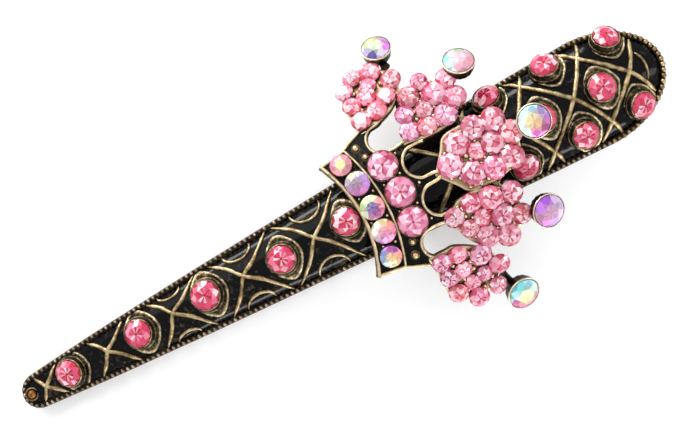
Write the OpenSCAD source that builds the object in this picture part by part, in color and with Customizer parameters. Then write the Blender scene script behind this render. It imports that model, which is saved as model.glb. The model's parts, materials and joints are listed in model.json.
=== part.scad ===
// Rhinestone hair clip: a cast, arched and domed upper jaw with a crown
// ornament, with cast posts peened into a sprung steel beak finding.
// Millimetres. +X runs from the narrow tip to the wide press end, +Y across,
// +Z up. The origin is on the flat underside of the lower arm, straight below
// the hinge axis.

/* [Body casting] */
// Distance from the hinge axis forward to the narrow tip
tip_len = 70; // [69:0.5:71]
// Distance from the hinge axis back to the round press end
end_len = 40; // [39.5:0.5:41]
// Height of the casting's rim at the tip
tip_z = 1.9; // [1.8:0.1:2.4]
// Slope of the rim at the tip, rise over run
tip_slope = 0.33; // [0.31:0.01:0.35]
// Fall of the rim at the press end, rise over run
end_slope = 0.09; // [0.05:0.01:0.12]
// Height of the dome over the rim, as a share of the half width
dome_k = 0.557; // [0.5:0.01:0.58]
// Width of the beaded lip round the rim
lip_w = 0.9; // [0.7:0.1:1.1]
// Height of the lip over the enamel
lip_h = 0.35; // [0.2:0.05:0.5]
// Height of the raised lattice wires over the enamel
rib_h = 0.38; // [0.25:0.05:0.5]
// Width of the raised lattice wires
rib_w = 0.55; // [0.4:0.05:0.7]
// Thickness of the casting's shell
shell_t = 1.1; // [0.9:0.1:1.3]
// Thickness of the enamel fill
enamel_t = 0.25; // [0.15:0.05:0.3]

/* [Crown ornament] */
// Where the crown's base line crosses the clip
crown_x = -13.0; // [-13.2:0.1:-12.8]
// Height of the crown plate's top at its base
crown_z = 17.4; // [17.3:0.1:17.8]
// Rise of the crown plate along the clip, rise over run
crown_rise = 0.03; // [0.02:0.01:0.05]
// Radius to which the crown is bent across the clip
bend_r = 30; // [28:1:34]
// Thickness of the crown plate
plate_t = 1.0; // [0.8:0.1:1.1]
// Size factor on the crown's plan
crown_k = 0.975; // [0.96:0.005:0.98]

/* [Jaws] */
// Thickness of the steel strip
strip_t = 0.9; // [0.8:0.1:0.9]
// Height of the hinge axis
hinge_z = 5.2; // [5:0.1:5.6]
// Radius of the hinge pin
pin_r = 1.0; // [0.8:0.1:1.1]
// Running clearance round the pin in the upper ears
pin_gap = 0.06; // [0.03:0.01:0.1]
// Mean radius of the spring coil
coil_r = 1.65; // [1.6:0.05:1.8]
// Radius of the spring wire
wire_r = 0.33; // [0.25:0.01:0.35]
// Number of spring turns
coil_turns = 5; // [4:1:5]

/* [Hidden] */
tip_r = 2.75;
tip_c = -tip_len + tip_r;
end_c = 27.6;
end_a = end_len - end_c;
end_w = 8.4;
apex_x = -8;
apex_z = tip_z + tip_slope*(apex_x + tip_len)/2;
// half width of the casting at a few places along it
width_at = [[tip_c, tip_r], [-61.5, 3.25], [-54, 3.85], [-38, 4.9],
            [-15.5, 6.15], [15, 7.9], [end_c, end_w]];

// stones set in the casting: x, y, diameter
taper_at = [[-61.1, 0.1, 3.9], [-48.8, 0.3, 4.1], [-37.1, 0.5, 4.3],
            [-24.6, 0.0, 4.1], [-13.65, 0.3, 4.0]];
press_at = [[18.9, 0, 4.1], [28.9, -0.1, 4.1],
            [13.4, 5.95, 3.9], [23.2, 6.05, 4.0], [33.2, 5.6, 4.0],
            [13.7, -4.6, 3.9], [23.6, -4.65, 4.0], [33.2, -4.75, 3.9]];
// lattice crossings of the tapered part: x, reach forward, reach back
cross_at = [[-65.8, 1.3, 2.7], [-54.5, 2.6, 3.8], [-42.8, 3.4, 5.0],
            [-30.8, 4.4, 5.6], [-18.8, 5.3, 5.3]];

// crown stones in the crown's plan: along, across, diameter
band_at = [[2.6, 8.1, 3.3], [3.5, 4.5, 3.7], [3.75, 0.3, 3.7],
           [3.6, -3.6, 3.7], [2.75, -7.45, 3.3]];
heart_at = [[8.15, 5.05, 4.5], [8.6, 0.35, 4.5], [8.15, -4.35, 4.5]];
pave_1 = [[8.6, 12.5, 2.6], [8.4, 15.15, 2.5], [8.4, 17.65, 2.4],
          [11.4, 12.8, 2.6], [11.0, 15.4, 2.5], [10.5, 19.05, 2.35],
          [13.25, 18.6, 2.9], [13.7, 14.05, 2.6], [15.6, 15.95, 2.6]];
pave_2 = [[14.2, 7.6, 2.6], [14.7, 10.2, 2.45], [16.9, 7.05, 2.6],
          [17.7, 9.5, 2.3], [16.5, 12.35, 2.8], [20.2, 7.35, 3.1],
          [20.2, 11.0, 3.1], [19.1, 13.65, 2.2], [23.0, 12.2, 2.7],
          [22.8, 9.0, 2.9]];
pave_3 = [[17.1, 0.3, 3.1], [19.6, 2.75, 3.1], [19.6, -2.35, 3.1],
          [21.7, 0.4, 2.2], [22.8, 3.75, 3.1], [22.8, -3.1, 3.1],
          [24.5, 0.4, 3.0], [26.0, 3.45, 3.0], [26.0, -2.9, 3.0],
          [27.65, 0.5, 2.9]];
pave_4 = [[14.0, -6.75, 2.6], [15.3, -9.3, 2.4], [17.2, -6.0, 2.6],
          [17.8, -8.7, 2.3], [17.2, -11.55, 2.9], [20.1, -6.6, 3.0],
          [20.6, -9.75, 3.0], [20.1, -12.9, 3.0], [23.4, -7.4, 2.8],
          [23.3, -11.0, 2.8]];
pave_5 = [[9.1, -11.95, 2.5], [9.1, -14.45, 2.35], [9.3, -17.15, 2.5],
          [11.8, -11.85, 2.4], [11.6, -14.35, 2.3], [11.9, -19.1, 2.6],
          [12.0, -16.7, 2.1], [15.0, -13.4, 2.9], [16.9, -16.05, 2.7],
          [15.3, -18.85, 2.3], [14.2, -16.3, 2.1]];
// crown petals: plan outline
petal_1 = [[7.3, 11.6], [7.2, 17.6], [8.4, 19.0], [11.2, 20.5], [14.6, 19.8],
           [16.6, 17.6], [16.9, 15.4], [15.4, 13.2], [11.2, 11.5]];
petal_2 = [[12.5, 6.5], [14.5, 11.6], [16.7, 13.9], [18.9, 14.5], [21.4, 14.0],
           [23.7, 13.1], [24.3, 10.3], [23.3, 7.6], [20.4, 5.8], [16.0, 5.9]];
petal_3 = [[14.4, 0], [18.3, 4.8], [21.8, 5.4], [25.8, 5.3], [28.0, 3.6],
           [28.9, 1.2], [28.9, -1.0], [28.0, -3.2], [25.8, -4.9],
           [21.8, -5.2], [18.3, -4.8]];
petal_4 = [[12.5, -6.5], [16.0, -4.9], [20.4, -4.8], [24.3, -6.9],
           [24.6, -9.6], [23.8, -12.3], [21.6, -14.0], [19.0, -14.2],
           [16.2, -13.2], [14.8, -11.6]];
petal_5 = [[7.6, -10.8], [12.2, -10.7], [15.9, -12.6], [17.6, -15.2],
           [17.0, -17.8], [14.7, -19.7], [11.9, -20.5], [9.4, -19.0],
           [8.1, -17.6]];
petal_mid = [[11.7, 15.9], [18.5, 10.0], [22.0, 0], [18.5, -9.7], [12.2, -15.5]];
// the five point stones: along, across, height of girdle, lean of the cup
point_at = [[16.0, 21.8, 11.2, [0.12, 0.60, 0.79]],
            [25.8, 13.75, 16.9, [0.24, 0.56, 0.79]],
            [31.2, 0.2, 20.6, [-0.06, -0.04, 1]],
            [27.1, -12.8, 16.8, [0.25, -0.42, 0.87]],
            [18.2, -22.3, 11.2, [0.14, -0.62, 0.77]]];
point_d = [4.3, 4.6, 4.8, 4.9, 4.8];
// cast balls on the crown: along, across, diameter
ball_at = [[5.75, 9.35, 1.1], [6.45, 7.5, 0.85], [6.65, -7.1, 0.85],
           [6.1, -9.1, 1.1]];
// cast posts under the casting
cast_post_x = [-50, -19, 24];

bronze = [0.46, 0.36, 0.22];
steel = [0.55, 0.5, 0.42];
black = [0.02, 0.02, 0.025];
rose = [0.86, 0.22, 0.38];
pale_rose = [0.93, 0.5, 0.66];
aurora = [0.85, 0.7, 0.9];

// ---- the casting's surface -------------------------------------------------
function halfw(x) =
    x <= tip_c ? sqrt(max(0, tip_r*tip_r - pow(x - tip_c, 2)))
    : x >= end_c ? end_w*sqrt(max(0, 1 - pow((x - end_c)/end_a, 2)))
    : lookup(x, width_at);
function halfw_in(x) =
    x <= tip_c ? sqrt(max(0, pow(tip_r - 1, 2) - pow(x - tip_c, 2)))
    : x >= end_c ? (end_w - 1)*sqrt(max(0, 1 - pow((x - end_c)/(end_a - 1), 2)))
    : lookup(x, width_at) - 1;
function zr(x) = x < apex_x
    ? tip_z + tip_slope*(x + tip_len)
      - tip_slope*pow(x + tip_len, 2)/(2*(apex_x + tip_len))
    : apex_z - end_slope*pow(x - apex_x, 2)/(2*(end_len - apex_x));
function domeh(x) = x < 18 ? dome_k*halfw(x)
    : dome_k*halfw(18)*sqrt(max(0, 1 - pow((x - 18)/(end_len - 18), 2)));
function arc_r(x) = let(w = max(halfw(x), 0.05), h = max(domeh(x), 0.02))
    (w*w + h*h)/(2*h);
function zs(x, y) = let(h = max(domeh(x), 0.02), r = arc_r(x))
    zr(x) + sqrt(max(0, r*r - y*y)) - (r - h);
function unit(v) = v/norm(v);
function nrm(x, y) = unit([-(zs(x + 0.1, y) - zs(x - 0.1, y))/0.2,
                           -(zs(x, y + 0.1) - zs(x, y - 0.1))/0.2, 1]);
function on_body(p) = concat([p[0], p[1], zs(p[0], p[1])], nrm(p[0], p[1]));
function lip_y(x) = max(halfw(x) - lip_w, 0.35*halfw(x));

// ---- helpers ----------------------------------------------------------------
module aim(n) {
    rotate([0, acos(unit(n)[2]), atan2(n[1], n[0])])
        rotate([0, 0, -atan2(n[1], n[0])]) children();
}
module on_dome(x, y) { translate([x, y, zs(x, y)]) aim(nrm(x, y)) children(); }

// a closed loft through rings with the same number of points
module loft(rings) {
    n = len(rings[0]);
    m = len(rings);
    polyhedron(
        points = [for (r = rings) for (p = r) p],
        faces = concat([[for (i = [n-1:-1:0]) i]],
            [for (j = [0:m-2]) for (i = [0:n-1])
                let(a = j*n + i, b = j*n + (i+1)%n, c = a + n, d = b + n)
                each [[a, b, d], [a, d, c]]],
            [[for (i = [0:n-1]) (m-1)*n + i]]));
}
// a wire lying on a surface: path of [x, y, z, nx, ny, nz]
module wire(path, hw, h, sink) {
    m = len(path);
    loft([for (i = [0:m-1])
        let(p = [path[i][0], path[i][1], path[i][2]],
            n = [path[i][3], path[i][4], path[i][5]],
            a = path[max(i-1, 0)], b = path[min(i+1, m-1)],
            t = unit([b[0]-a[0], b[1]-a[1], b[2]-a[2]]),
            s = unit(cross(n, t)))
        [p + s*hw - n*sink, p - s*hw - n*sink, p + n*h]]);
}
function mixp(p, q, t) = p + (q - p)*t;
function trace(pts, n) = concat([for (i = [0:len(pts)-2]) for (k = [0:n-1])
    mixp(pts[i], pts[i+1], k/n)], [pts[len(pts)-1]]);
// a cut stone, its girdle at z = 0
module stone(d) {
    r = d/2;
    rotate_extrude($fn = 32) polygon([[0, -0.34*d], [0.35*r, -0.34*d],
        [r, -0.04*d], [r, 0.02*d], [0.56*r, 0.17*d], [0, 0.17*d]]);
}
// a flat-backed stone that sits on the plate
module flat_stone(d) {
    r = d/2;
    rotate_extrude($fn = 32) polygon([[0, -0.33], [0.62*r, -0.33],
        [r, -0.05*d], [r, 0.01*d], [0.56*r, 0.17*d], [0, 0.17*d]]);
}
// the seat that a stone drops into
module seat(d, n) {
    r = d/2 + 0.08;
    translate([0, 0, -0.34*d - 0.06]) cylinder(r1 = 0.35*r, r2 = r,
        h = 0.30*d + 0.02, $fn = n);
    translate([0, 0, -0.04*d - 0.05]) cylinder(r = r, h = 0.8*d, $fn = n);
}
girdle = 1.45;

// ---- lattice of the casting -------------------------------------------------
module body_ribs() {
    for (c = cross_at) for (s = [-1, 1]) {
        xf = c[0] - c[1];
        xb = c[0] + c[2];
        wf = halfw(xf) - 0.75;
        wb = halfw(xb) - 0.75;
        wire([for (p = concat(
                trace([[xf, s*wf], [c[0], 0]], 1),
                [for (k = [1:2]) [c[0] + c[2]*k/2,
                    -s*wb*(0.86*k/2 + 0.14*pow(k/2, 2))]]))
              on_body([p[0] + 0.02*s, p[1]])], rib_w/2 + 0.011*s,
            rib_h + 0.03*s, 0.5 + 0.02*s);
    }
    // crossing wires of the press end
    for (k = [0, 1, 2]) for (s = [-1, 1])
        wire([for (p = trace([[28.8 - 9.8*k, s*(halfw(28.8 - 9.8*k) - 0.7)],
                [28.0 - 9.8*k, 5.45*s], [24.2 - 9.8*k, 0],
                [18.2 - 9.8*k, -5.45*s],
                [16.2 - 9.8*k, -s*(halfw(16.2 - 9.8*k) - 0.75)]], 1))
              on_body([p[0] + 0.02*s, p[1]])], rib_w/2 + 0.011*s,
            rib_h + 0.03*s, 0.5 + 0.02*s);
    for (s = [-1, 1])
        wire([for (p = trace([[36.6, 4.2*s], [34.1, 0], [28.1, -5.45*s],
                [25.8, -7.4*s]], 1)) on_body([p[0] + 0.02*s, p[1]])],
            rib_w/2 + 0.011*s, rib_h + 0.03*s, 0.5 + 0.02*s);
    wire([for (q = [-3:2:3]) on_body([36.9 - 0.05*q*q, 0.62*q])],
        0.22, rib_h - 0.08, 0.5);
}
// leaf shaped collar and the raised cup on it
module collar(d) {
    translate([0, 0, -0.45]) linear_extrude(height = 0.75) polygon(d*[
        [0, 0.8], [-0.42, 0.52], [-0.62, 0], [-0.42, -0.52],
        [0, -0.8], [0.42, -0.52], [0.62, 0], [0.42, 0.52]]);
    translate([0, 0, -0.5]) cylinder(r1 = d/2 + 0.42, r2 = d/2 + 0.3,
        h = girdle + 0.5, $fn = 32);
}
module stone_cup(p) {
    on_dome(p[0], p[1]) difference() {
        collar(p[2]);
        translate([0, 0, girdle]) seat(p[2], 32);
    }
}
// the casting's shell: one skin over the top, round the rim and up inside
stations = concat(
    [for (q = [5:14:89]) tip_c - tip_r*cos(q)],
    [for (k = [0:32]) tip_c + (end_c - tip_c)*k/32],
    [for (q = [10:10:80]) end_c + end_a*sin(q)], [end_c + end_a*sin(88)]);
function is_open(x) = x > tip_c - 1.6 && x < end_c + end_a - 1.3;
function over_top(x) = let(w = halfw(x), y1 = lip_y(x), zb = zr(x) - 0.7)
    concat([[x, w, zb], [x, w, zr(x) + lip_h*0.6],
            [x, (w + y1)/2, max(zs(x, y1) + lip_h, zr(x) + lip_h)],
            [x, y1, zs(x, y1) + lip_h*0.7]],
        [for (j = [5:-1:-5]) [x, y1*j/5, zs(x, y1*j/5) - enamel_t]],
        [[x, -y1, zs(x, y1) + lip_h*0.7],
         [x, -(w + y1)/2, max(zs(x, y1) + lip_h, zr(x) + lip_h)],
         [x, -w, zr(x) + lip_h*0.6], [x, -w, zb]]);
function inside(x) = let(w = is_open(x) ? halfw_in(x) : 0.3*halfw(x),
        zb = zr(x) - 0.7)
    concat([[x, -w, zb]],
        [for (j = [-5:5]) [x, w*j/5, is_open(x)
            ? max(zs(x, w*j/5) - shell_t, zr(x) - 0.4) : zb + 0.1]],
        [[x, w, zb]]);
module shell() {
    rings = [for (x = stations) concat(over_top(x), inside(x))];
    n = len(rings[0]);
    o = len(over_top(0));
    m = len(stations);
    a0 = min([for (j = [0:m-1]) if (is_open(stations[j])) j]);
    a1 = max([for (j = [0:m-1]) if (is_open(stations[j])) j]);
    // the solid ends have a plain bottom between the two inner corners
    plain = concat([for (i = [0:o]) i], [n - 1]);
    k = len(plain);
    polyhedron(points = [for (r = rings) for (p = r) p],
        faces = concat(
            [[for (i = [k-1:-1:0]) plain[i]]],
            [for (j = [0:m-2]) if (j >= a0 && j < a1) for (i = [0:n-1])
                let(a = j*n + i, b = j*n + (i+1)%n)
                each [[a, b, b + n], [a, b + n, a + n]]],
            [for (j = [0:m-2]) if (j < a0 || j >= a1) for (i = [0:k-1])
                let(a = j*n + plain[i], b = j*n + plain[(i+1)%k])
                each [[a, b, b + n], [a, b + n, a + n]]],
            [[for (i = [n-1:-1:o]) a0*n + i], [for (i = [o:n-1]) a1*n + i],
             [for (i = plain) (m-1)*n + i]]));
}
function rim_slope(x) = (zr(x + 0.1) - zr(x - 0.1))/0.2;

// ---- crown ------------------------------------------------------------------
function cx(a) = crown_x + crown_k*a;
function cy(b) = crown_k*b;
function czy(x, y) = crown_z + crown_rise*(x - crown_x)
    - (bend_r - sqrt(bend_r*bend_r - y*y));
function on_crown(a, b) = let(x = cx(a), y = cy(b), q = sqrt(bend_r*bend_r - y*y))
    concat([x, y, czy(x, y)], unit([-crown_rise, y/q, 1]));
function pm(k) = [cx(petal_mid[k][0]), cy(petal_mid[k][1])];
function pslope(k) = pm(k)[1]/sqrt(bend_r*bend_r - pow(pm(k)[1], 2));
function pz(k, x, y) = czy(pm(k)[0], pm(k)[1]) + crown_rise*(x - pm(k)[0])
    - pslope(k)*(y - pm(k)[1]);
module on_petal(k, a, b, up) {
    translate([cx(a), cy(b), pz(k, cx(a), cy(b))])
        aim([-crown_rise, pslope(k), 1]) translate([0, 0, up]) children();
}
module on_plate(a, b, up) {
    q = on_crown(a, b);
    translate([q[0], q[1], q[2]]) aim([q[3], q[4], q[5]])
        translate([0, 0, up]) children();
}
band_lo = function(b) 1.85 - b*b*0.0245;
band_hi = function(b) 5.9 - b*b*0.0192;
// upper edge of the middle plate: four scallops between the petals' feet
function scallop(b) = let(u = abs(b))
    u < 0.5 ? 14.9
    : u < 5.85 ? 13.4 - sqrt(max(0, 2.72*2.72 - pow(u - 3.2, 2)))
    : u < 6.9 ? 12.9
    : u < 10.95 ? 9.75 - sqrt(max(0, 2.25*2.25 - pow(u - 8.85, 2)))
    : 7.6;
function mid_lo(b) = abs(b) < 9.95 ? band_hi(b) - 0.2 : 3.9 + (abs(b) - 9.95)*2.0;
half_b = [0, 0.48, 0.52, 1.2, 2.2, 3.2, 4.2, 5.2, 5.83, 5.87, 6.88, 6.92,
          7.9, 8.85, 9.8, 10.93, 10.97, 11.4];
mid_b = concat([for (i = [len(half_b)-1:-1:1]) -half_b[i]], half_b);
function slab_ring(b, lo, hi, t0, t1) = let(p = on_crown(lo, b), q = on_crown(hi, b))
    [[p[0], p[1], p[2] - t1], [q[0], q[1], q[2] - t1],
     [q[0], q[1], q[2] - t0], [p[0], p[1], p[2] - t0]];
module band_slab(inset, t0, t1) {
    loft([for (i = [-9:9]) let(b = (9.95 - inset)*i/9,
            lo = max(band_lo(b), band_lo(9.15) + (abs(b) - 9.15)*5.2))
        slab_ring(b, lo + inset, band_hi(b) - inset, t0, t1)]);
}
// the sheet bent across the clip, between two depths under its top
module bent_sheet(t0, t1) {
    translate([crown_x, 0, crown_z - bend_r]) rotate([0, -atan(crown_rise), 0])
        rotate([0, 90, 0]) translate([0, 0, -3]) difference() {
            cylinder(r = bend_r - t0, h = 40, $fn = 96);
            translate([0, 0, -1]) cylinder(r = bend_r - t1, h = 42, $fn = 96);
        }
}
function crown_outline() = concat(
    [for (i = [-8:8]) [cx(band_lo(9.15*i/8)), cy(9.15*i/8)]],
    [[cx(3.96), cy(9.95)], [cx(6.8), cy(11.4)]],
    [for (i = [len(mid_b)-1:-1:0]) [cx(scallop(mid_b[i])), cy(mid_b[i])]],
    [[cx(6.8), cy(-11.4)], [cx(3.96), cy(-9.95)]]);
module crown_wires() {
    ends = [for (s = [-1, 1]) [for (k = [0:3])
        on_crown(mixp(-0.15, 4.0, k/3), s*mixp(9.1, 9.9, k/3))]];
    wire([for (i = [-7:7]) on_crown(band_lo(9.15*i/7) + 0.1, 9.15*i/7)],
        0.27, 0.4, 0.6);
    wire([for (i = [-7:7]) on_crown(band_hi(9.95*i/7), 9.95*i/7)],
        0.27, 0.4, 0.6);
    for (e = ends) wire(e, 0.27, 0.4, 0.6);
    for (s = [-1, 1]) {
        // outer edge of the middle plate
        wire([for (k = [0:3]) on_crown(mixp(4.0, 7.3, k/3),
            s*mixp(9.95, 11.4, k/3))], 0.22, 0.25, 0.6);
        // inner and outer loops
        wire([for (q = [-4:4]) on_crown(13.4 - 2.6*cos(22.5*q) + (abs(q) > 3 ? 0.4 : 0),
            s*(3.2 + 2.6*sin(22.5*q)))], 0.26, 0.35, 0.6);
        wire([for (q = [-4:4]) on_crown(9.8 - 2.2*cos(22*q),
            s*(8.85 - 2.2*sin(22*q)))], 0.26, 0.35, 0.6);
    }
}
petals = [petal_1, petal_2, petal_3, petal_4, petal_5];
paves = [pave_1, pave_2, pave_3, pave_4, pave_5];
function pn(k) = unit([-crown_rise, pslope(k), 1]);
function flat_on(n, d) = [d*[1 - n[0]*n[0]/(1 + n[2]), -n[0]*n[1]/(1 + n[2]), -n[0]],
                          d*[-n[0]*n[1]/(1 + n[2]), 1 - n[1]*n[1]/(1 + n[2]), -n[1]]];
module petal_plate(k) {
    c = [pm(k)[0], pm(k)[1], pz(k, pm(k)[0], pm(k)[1])];
    translate(c) aim(pn(k)) translate([0, 0, -plate_t])
        linear_extrude(height = plate_t) polygon([for (p = petals[k])
            flat_on(pn(k), [cx(p[0]), cy(p[1]), pz(k, cx(p[0]), cy(p[1]))] - c)]);
}
function point_c(i) = [cx(point_at[i][0]), cy(point_at[i][1]), point_at[i][2]];
module bar(p, q, r) {
    d = q - p;
    translate(p) rotate([0, acos(d[2]/norm(d)), atan2(d[1], d[0])])
        cylinder(r = r, h = norm(d), $fn = 24);
}
foot_at = [[15.9, 18.9], [24.3, 12.3], [28.9, 0.2], [24.5, -11.6], [16.6, -18.6]];
// short struts that tie neighbouring petals together
strut_at = [[14.6, 12.0, 15.0, 14.0, 1], [21.3, 4.8, 21.3, 6.6, 2],
            [20.6, -4.4, 20.6, -5.6, 2], [15.6, -11.0, 15.9, -13.6, 3]];
module point_cup(i) {
    n = unit(point_at[i][3]);
    c = point_c(i);
    f = [cx(foot_at[i][0]), cy(foot_at[i][1]),
         pz(i, cx(foot_at[i][0]), cy(foot_at[i][1])) - 0.85];
    difference() {
        union() {
            translate(c) aim(n) translate([0, 0, -1.95])
                cylinder(r1 = point_d[i]/2 - 0.75, r2 = point_d[i]/2 + 0.28,
                         h = 2.0, $fn = 32);
            bar(f, c - n*1.5, 0.62);
        }
        translate(c) aim(n) seat(point_d[i], 32);
    }
}
module strut(s) {
    p = [cx(s[0]), cy(s[1])];
    q = [cx(s[2]), cy(s[3])];
    bar([p[0], p[1], pz(s[4], p[0], p[1]) - 0.75],
        [q[0], q[1], pz(s[4], q[0], q[1]) - 0.75], 0.42);
}

// ---- steel strips -----------------------------------------------------------
module side_strip(x0, x1, n, t0, t1) {
    // the arched strip seen from the side, extruded across the clip
    pts = concat([for (i = [0:n]) let(x = x0 + (x1 - x0)*i/n) [x, zr(x) + t1]],
                 [for (i = [n:-1:0]) let(x = x0 + (x1 - x0)*i/n) [x, zr(x) + t0]]);
    rotate([90, 0, 0]) translate([0, 0, -6]) linear_extrude(height = 12)
        polygon(pts);
}

module lower_arm() color(steel) {
    difference() {
        union() {
            linear_extrude(height = strip_t) polygon(concat(
                [for (q = [180:15:360]) [-67.4 + 1.75*sin(q), 1.75*cos(q)]],
                [[-40, 2.6], [-10, 4.1], [12, 4.1], [24, 4.9]],
                [for (q = [60:-15:-60]) [29 + 5*cos(q), 5*sin(q)]],
                [[24, -4.9], [12, -4.1], [-10, -4.1], [-40, -2.6]]));
            for (s = [-1, 1]) {
                // ears that carry the pin
                translate([-4.2, s*3.7 - 0.4, 0.3]) cube([8.4, 0.8, 1.8]);
                translate([-2.2, s*3.7 - 0.4, 0.3]) cube([4.4, 0.8, hinge_z - 0.3]);
                translate([0, s*3.7 + 0.4, hinge_z]) rotate([90, 0, 0])
                    cylinder(r = 2.2, h = 0.8, $fn = 48);
                // row of teeth that hold the hair
                for (k = [0:10]) translate([-60 + 4*k, s*(2.0 + 0.032*(4*k)), 0.5])
                    rotate([90, 0, 0]) translate([0, 0, -0.3]) linear_extrude(height = 0.6)
                        polygon([[-0.8, 0], [0.8, 0], [0, 1.3]]);
            }
        }
        translate([0, 6, hinge_z]) rotate([90, 0, 0])
            cylinder(r = pin_r + 0.02, h = 12, $fn = 48);
        // lightening slot in front of the hinge
        translate([-36, 0, -1]) cylinder(r = 1.1, h = 3, $fn = 32);
        translate([-18, 0, -1]) cylinder(r = 1.1, h = 3, $fn = 32);
        translate([-36, -1.1, -1]) cube([18, 2.2, 3]);
    }
}
module hinge_pin() color(steel) {
    translate([0, 4.35, hinge_z]) rotate([90, 0, 0])
        cylinder(r = pin_r, h = 8.7, $fn = 48);
    for (s = [-1, 1]) translate([0, s*4.4 + 0.25, hinge_z]) rotate([90, 0, 0])
        cylinder(r = pin_r + 0.55, h = 0.5, $fn = 48);
}
module torsion_spring() color([0.6, 0.6, 0.62]) {
    y0 = -1.75;
    y1 = 1.75;
    n = coil_turns;
    // lower leg, coil and upper leg as one wire
    path = concat(
        [[10.5, y0, 1.35], [7.5, y0, 1.45], [4, y0, 2.2]],
        [for (k = [0:16*n + 7]) let(a = -80 - k*360/16, f = k/(16*n + 7))
            [coil_r*cos(a), y0 + (y1 - y0)*f, hinge_z + coil_r*sin(a)]],
        [[3.6, y1, 8.4], [6.6, y1, 10.1], [9.6, y1, 10.65]]);
    m = len(path);
    loft([for (i = [0:m-1])
        let(a = path[max(i-1, 0)], b = path[min(i+1, m-1)],
            t = unit(b - a), u = unit(cross([0, 1, 0], t)), v = cross(t, u))
        [for (q = [0:60:300]) path[i] + u*wire_r*cos(q) + v*wire_r*sin(q)]]);
}
module upper_arm() color(steel) {
    difference() {
        union() {
            intersection() {
                side_strip(-68.2, 34, 40, -0.7, 0.1);
                translate([0, 0, -5]) linear_extrude(height = 40) polygon(concat(
                    [[-68.2, -1.0], [-60, -1.9], [-45, -2.4], [-10, -3.1], [31.5, -3.1]],
                    [for (q = [-60:20:60]) [31.5 + 2.4*cos(q), 3.1*sin(q)/0.87]],
                    [[31.5, 3.1], [-10, 3.1], [-45, 2.4], [-60, 1.9], [-68.2, 1.0]]));
            }
            for (s = [-1, 1]) {
                // ears folded down to the pin
                translate([0, s*2.7 + 0.4, 0]) rotate([90, 0, 0])
                    linear_extrude(height = 0.8)
                        polygon([[-6, zr(-6) - 0.5], [6, zr(6) - 0.5],
                                 [2.0, hinge_z], [-2.0, hinge_z]]);
                translate([0, s*2.7 + 0.4, hinge_z]) rotate([90, 0, 0])
                    cylinder(r = 2.0, h = 0.8, $fn = 48);
            }
        }
        translate([0, 6, hinge_z]) rotate([90, 0, 0])
            cylinder(r = pin_r + pin_gap, h = 12, $fn = 48);
        for (x = cast_post_x) translate([x, 0, zr(x)]) rotate([0, -atan(rim_slope(x)), 0])
            translate([0, 0, -4]) cylinder(r = 0.66, h = 8, $fn = 32);
    }
}
module arm_posts() color(steel) {
    for (x = cast_post_x) translate([x, 0, zr(x)]) rotate([0, -atan(rim_slope(x)), 0]) {
        translate([0, 0, -0.9]) cylinder(r = 0.6, h = domeh(x) + 0.1, $fn = 32);
        translate([0, 0, -1.2]) cylinder(r1 = 0.8, r2 = 1.15, h = 0.5, $fn = 32);
    }
}
module body_casting() color(bronze) shell();
module body_lattice() color(bronze) body_ribs();
module taper_stone_cups() color(bronze) for (p = taper_at) stone_cup(p);
module press_stone_cups() color(bronze) for (p = press_at) stone_cup(p);
module tip_cup() color(bronze) translate([-68.45, 0, zs(-68.45, 0) - 0.5])
    difference() {
        cylinder(r1 = 1.1, r2 = 0.95, h = 0.95, $fn = 32);
        translate([0, 0, 0.55]) cylinder(r = 0.74, h = 3, $fn = 32);
    }
module body_enamel() color(black)
    loft([for (x = [for (k = [0:26]) -67.2 + (38.0 + 67.2)*k/26])
        let(y1 = lip_y(x) - 0.05)
        concat([for (j = [-5:5]) [x, y1*j/5, zs(x, y1*j/5) - enamel_t + 0.01]],
               [for (j = [5:-1:-5]) [x, y1*j/5, zs(x, y1*j/5)]])]);
module tip_stud() color([0.5, 0.24, 0.08]) {
    translate([-68.45, 0, zs(-68.45, 0) + 0.07]) rotate_extrude($fn = 32)
        polygon([[0, 0], [0.66, 0], [0.66, 0.35], [0.55, 0.6], [0.3, 0.78], [0, 0.84]]);
}
module body_stone(p) { on_dome(p[0], p[1]) translate([0, 0, girdle]) stone(p[2]); }
module taper_stone(i) color(rose) body_stone(taper_at[i]);
module press_centre_stones() color(rose) for (i = [0, 1]) body_stone(press_at[i]);
module press_side_stones() color(rose) for (i = [2:7]) body_stone(press_at[i]);
post_at = [[-7.2, 0], [7.0, 0]];
module crown_posts() color(bronze) {
    for (p = post_at) translate([p[0], p[1], zs(p[0], p[1]) - 0.88])
        cylinder(r = 1.05, h = czy(p[0], 0) - plate_t + 0.35
                 - zs(p[0], p[1]) + 0.88, $fn = 32);
}
module crown_plate() color(bronze) intersection() {
    bent_sheet(0.15, plate_t);
    linear_extrude(height = 40) polygon(crown_outline());
}
module crown_trim() color(bronze) crown_wires();
module crown_balls() color(bronze) for (p = ball_at)
    on_plate(p[0], p[1], 0.15) sphere(r = p[2]/2, $fn = 32);
module petal_plates() color(bronze) for (k = [0:4]) petal_plate(k);
module petal_struts() color(bronze) for (s = strut_at) strut(s);
module point_cups() color(bronze) for (i = [0:4]) point_cup(i);
module crown_enamel() color(black) {
    difference() {
        union() {
            band_slab(0.35, 0.0, 0.14);
            loft([for (b = mid_b) slab_ring(b, mid_lo(b) + 0.5,
                max(mid_lo(b) + 0.6, min(scallop(b) - 0.35,
                abs(b) < 0.5 ? 13.4 : abs(b) < 6.9 ? 12.1 : 7.0)), 0, 0.14)]);
        }
        for (p = band_at) on_plate(p[0], p[1], -1)
            cylinder(r = p[2]*crown_k/2 + 0.2, h = 2, $fn = 16);
        for (p = heart_at) on_plate(p[0], p[1], -1)
            cylinder(r = p[2]*crown_k/2 + 0.22, h = 2, $fn = 16);
        for (p = ball_at) on_plate(p[0], p[1], -1)
            cylinder(r = p[2]/2 + 0.05, h = 2, $fn = 16);
    }
}
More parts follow.
